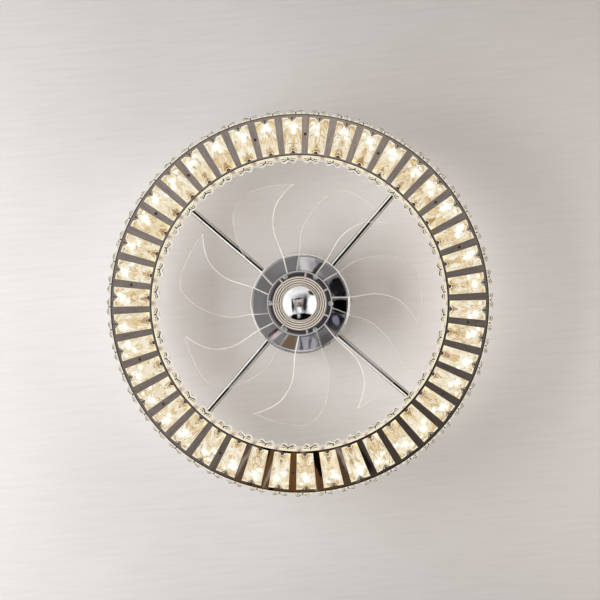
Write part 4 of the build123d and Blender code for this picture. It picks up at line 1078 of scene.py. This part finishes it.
def plaster():
    """Painted ceiling: off-white, faintly mottled, and seen from below only."""
    made, tree, shader = material("ceiling_plaster", Roughness=0.8)
    x, y, z = split(local(tree))
    brush_marks = noise(combined(x * 14, y * 190, z), 1, 3)
    tone = mixed(spread(grain(tree, 3, 4), 0.3, 0.7), (232, 229, 227), (226, 222, 220))
    feed(shader, Base_Color=mixed(spread(brush_marks, 0.4, 0.7, 0, 0.28), tone, (214, 209, 206)))
    bumped(shader, grain(tree, 120), 0.08)
    back = result(tree, "NewGeometry", output="Backfacing")
    show(mixed_shaders(back, Value(shader), result(tree, "BsdfTransparent")))
    return made


def floor_paint():
    """Pale paint, faintly mottled."""
    made, tree, shader = material("pale_floor", Roughness=0.55)
    feed(shader, Base_Color=mixed(grain(tree, 2, 4), (214, 210, 206), (204, 200, 196)))
    bumped(shader, grain(tree, 90), 0.05)
    return made


def square(half, z):
    shape = bmesh.new()
    corners = ((-half, -half), (half, -half), (half, half), (-half, half))
    shape.faces.new([shape.verts.new((x, y, z)) for x, y in corners])
    return shape


def pierced_square(half, hole_radius, z, steps=64):
    """A square facing down with a round hole behind the drum, so a view from above looks into the drum."""
    shape = bmesh.new()
    inner, outer = [], []
    for step in range(steps):
        x, y = cos(2 * pi * step / steps), sin(2 * pi * step / steps)
        reach = half / max(abs(x), abs(y))
        inner.append(shape.verts.new((x * hole_radius, y * hole_radius, z)))
        outer.append(shape.verts.new((x * reach, y * reach, z)))
    for step in range(steps):
        after = (step + 1) % steps
        shape.faces.new((inner[step], inner[after], outer[after], outer[step]))
    return shape


CEILING_HALF, CEILING_Z = 4, 0.4 * MM
FLOOR_HALF, FLOOR_Z = 6, -2.62
ceiling = stage_object("ceiling", pierced_square(CEILING_HALF, canopy_radius - 4 * MM, CEILING_Z), plaster())
ceiling.visible_shadow = False
stage_object("floor", square(FLOOR_HALF, FLOOR_Z), floor_paint())


# Place, half sizes, turn, softness and tone of each thing that the drum's underside shows. Millimetres and
# degrees, as the photograph shows them.
CANOPY_VIEW = (
    (8.5, 56, 10, 22, 4, 0.2, (200, 200, 199)),
    (18, 46, 6, 15, 25, 0.5, (150, 149, 149)),
    (23, 46, 3, 11, -42, 0.15, (8, 8, 12)),
    (50, 21, 12, 13, 30, 0.08, (3, 4, 9)),
    (55, -4, 16, 11, 0, 0.08, (5, 4, 4)),
    (65, -4, 3, 10, 6, 0.3, (96, 60, 36)),
    (47, -25, 14, 11, -35, 0.12, (14, 16, 28)),
    (47, -23, 4, 6, 30, 0.3, (120, 120, 130)),
    (56, -34, 6, 4, 30, 0.4, (104, 104, 112)),
    (34, -48, 12, 9, 40, 0.5, (84, 82, 80)),
    (8, -58, 15, 15, 0, 0.12, (156, 156, 162)),
    (1, -56, 1.6, 12, 3, 0.4, (58, 56, 60)),
    (13, -54, 2, 9, -6, 0.4, (52, 50, 56)),
    (-16, -56, 8, 15, -20, 0.12, (112, 94, 74)),
    (-31, -42, 3, 12, -50, 0.4, (196, 184, 186)),
    (-35, -38, 1.8, 10, -50, 0.4, (58, 22, 24)),
)
# The same for the ring's underside
RING_VIEW = (
    (-185, -140, 75, 75, 0, 0.9, (148, 137, 130)),
    (35, 230, 60, 40, 0, 0.9, (186, 172, 160)),
    (-8, -216, 64, 46, 0, 0.6, (120, 84, 50)),
    (24, -206, 6, 30, 24, 0.2, (18, 12, 8)),
    (12, -214, 3, 30, 20, 0.3, (196, 182, 168)),
    (-24, -212, 5, 34, -24, 0.15, (6, 5, 5)),
    (-33, -208, 2.4, 30, -24, 0.3, (176, 160, 144)),
    (-50, -206, 6, 30, -26, 0.2, (12, 9, 8)),
    (-68, -198, 2.4, 26, -30, 0.3, (160, 146, 134)),
    (62, -206, 5, 24, 30, 0.3, (172, 158, 148)),
    (80, -196, 6, 24, 34, 0.3, (34, 28, 24)),
)
# The same for the dome, by the place on it
BALL_VIEW = (
    (-15, 0, 10, 17, 0, 0.35, (255, 255, 255)),
    (-8, 11, 11, 5, 20, 0.6, (226, 226, 226)),
    (16, -1, 6, 12, 0, 0.3, (255, 255, 255)),
    (3, 9, 10, 3.5, 10, 0.6, (150, 150, 150)),
    (14.5, 13.5, 4.5, 2.2, -38, 0.4, (52, 52, 54)),
    (-1, -3, 8, 9.5, 0, 0.25, (138, 137, 136)),
    (7, -1, 3.2, 11, -3, 0.4, (44, 44, 46)),
    (-9, -3, 1.7, 8.5, 4, 0.4, (30, 30, 32)),
    (-2, 5.8, 8.5, 0.8, 9, 0.5, (34, 34, 36)),
    (-0.5, -8.5, 2.8, 5, 8, 0.4, (230, 230, 230)),
    (2, -17.5, 15, 5, 4, 0.15, (10, 10, 11)),
    (-1.5, -15, 2, 3.5, 0, 0.4, (170, 170, 170)),
)


def with_blobs(tone, spot, view):
    """Lays a view's turned ellipses over a tone, each where the spot falls inside it."""
    for x, y, half_x, half_y, turn, soft, shade in view:
        inputs = {
            "Vector": spot,
            "Location": (x * MM, y * MM, 0),
            "Rotation": (0, 0, radians(turn)),
            "Scale": (half_x * MM, half_y * MM, 1),
        }
        moved = result(spot.tree, "Mapping", inputs, vector_type="TEXTURE")
        inside = spread(vector_math("LENGTH", moved, output="Value"), 1 + soft, 1 - soft)
        tone = mixed(inside, tone, shade)
    return tone


def scaled(vector, factor):
    return result(vector.tree, "VectorMath", {0: vector, 3: factor}, operation="SCALE")


def wobbled(flat, scale, reach):
    """A flat place moved a little at random, so the borders of what is drawn there are uneven."""
    clouds = result(flat.tree, "TexNoise", {"Vector": flat, "Scale": scale, "Detail": 2}, "Color")
    return vector_math("ADD", flat, scaled(vector_math("ADD", clouds, (-0.5, -0.5, -0.5)), reach))


def below_room():
    """What the flat mirrors show: the room's floor, furniture and lamps, seen from up there.

    The card lies so that the place with a mirror's own coordinates on it is what that place shows.
    """
    made, tree = bare_material("room_below")
    x, y, _ = split(local(tree))
    flat = combined(x, y, 0)
    spot = wobbled(flat, 45, 9 * MM)
    radius = vector_math("LENGTH", flat, output="Value")
    drum_view = mixed(noise(flat, 18), (128, 127, 125), (96, 95, 94))
    drum_view = with_blobs(drum_view, spot, CANOPY_VIEW)
    under_impeller = spread(radius, 43 * MM, 45 * MM, 1, 0)
    drum_view = mixed(under_impeller, drum_view, (58, 58, 62))
    light_side = calc("COSINE", calc("ARCTAN2", y, x) - radians(112))
    ring_tone = spread(noise(flat, 6, 2) * 0.6 + light_side, -0.9, 1.2)
    ring_view = mixed(ring_tone, (66, 56, 47), (164, 153, 146))
    ring_view = with_blobs(ring_view, spot, RING_VIEW)
    tone = mixed(spread(radius, 100 * MM, 140 * MM), drum_view, ring_view)
    show(emission(tone, 1.45))
    return made


def room_around():
    """What a mirror ball under the fan shows of the room, drawn by the place on the ball that shows it."""
    made, tree = bare_material("room_around")
    toward = vector_math("NORMALIZE", local(tree))
    normal = vector_math("NORMALIZE", vector_math("ADD", toward, (0, 0, 1)))
    x, y, _ = split(scaled(normal, BALL_RADIUS))
    flat = combined(x, y, 0)
    tone = mixed(noise(flat, 90), (222, 221, 220), (190, 188, 186))
    tone = with_blobs(tone, wobbled(flat, 160, 3 * MM), BALL_VIEW)
    show(emission(tone, 1.25))
    return made


def bowl(radius, low_turn, high_turn, steps=12):
    """Part of a sphere between two angles from straight down, which is Z as the photograph looks."""
    shape = bmesh.new()
    turns = [radians(low_turn + (high_turn - low_turn) * step / steps) for step in range(steps + 1)]
    lathe(shape, [(radius * sin(turn), radius * cos(turn)) for turn in turns], 48, closed=False)
    return shape


# The card for the flat mirrors, enlarged as far as it lies behind them, and the bowl for the dome
CARD_Z = -2.3
CARD_HALF = 0.6
CARD_SCALE = 2 + (CAMERA_Z - CARD_Z) / -CAMERA_Z
as_seen = Matrix((SEEN_RIGHT, SEEN_UP, SEEN_RIGHT.cross(SEEN_UP))).transposed().to_4x4()
card_place = Matrix.Translation(seen(-CAMERA_ASIDE * (CARD_SCALE - 1), 0, CARD_Z))
mirror_card = stage_object("room_below", square(CARD_HALF / CARD_SCALE, 0), below_room())
mirror_card.matrix_world = card_place @ as_seen @ Matrix.Scale(CARD_SCALE, 4)
room_bowl = stage_object("room_around", bowl(radius=2.35, low_turn=15, high_turn=93), room_around())
room_bowl.matrix_world = Matrix.Translation((0, 0, canopy_z)) @ as_seen
for card in (mirror_card, room_bowl):
    card.visible_camera = False
    card.visible_diffuse = False
    card.visible_shadow = False
    card.visible_volume_scatter = False


# Soft lights that light surfaces and show in no mirror: name, place, target, side of the square, watts,
# colour and spread in degrees
LIGHTS = (
    ("soft_left", seen(-0.97, -0.12, -0.97), seen(-0.68, -0.11, 0), 0.9, 6.9, (0.96, 0.985, 1), 116),
    ("soft_right", seen(0.85, -0.03, -0.55), seen(0.38, -0.03, 0), 0.55, 3.1, (1, 0.94, 0.9), 180),
    ("ring_glow", seen(-0.05, 0, -0.155), seen(-0.05, 0, 0), 0.3, 0.1, (1, 0.95, 0.9), 180),
    ("soft_top", seen(0.6, 0.8, 2.2), seen(0, 0, 0), 2, 36, screen(255, 252, 248)[:3], 180),
)
for name, place, target, side, power, colour, spread_angle in LIGHTS:
    data = bpy.data.lights.new(name, "AREA")
    data.size = side
    data.energy = power
    data.color = colour
    data.spread = radians(spread_angle)
    light = placed(name, data)
    light.location = place
    light.rotation_euler = (target - place).to_track_quat("-Z", "Y").to_euler()
    light.visible_camera = False
    light.visible_glossy = False

world = bpy.data.worlds.new("room")
world.use_nodes = True
feed(world.node_tree.nodes["Background"], Color=(222, 222, 223), Strength=0.63)
scene.world = world

camera_data = bpy.data.cameras.new("camera")
camera_data.lens = CAMERA_LENS
camera_data.shift_x, camera_data.shift_y = CAMERA_SHIFT
camera = placed("camera", camera_data)
camera_place = seen(CAMERA_ASIDE, 0, CAMERA_Z)
back = (camera_place - Vector((0, 0, plate_z))).normalized()
right = SEEN_UP.cross(back).normalized()
turned = Matrix((right, back.cross(right), back)).transposed().to_4x4()
camera.matrix_world = Matrix.Translation(camera_place) @ turned
scene.camera = camera
scene.view_settings.view_transform = "Standard"
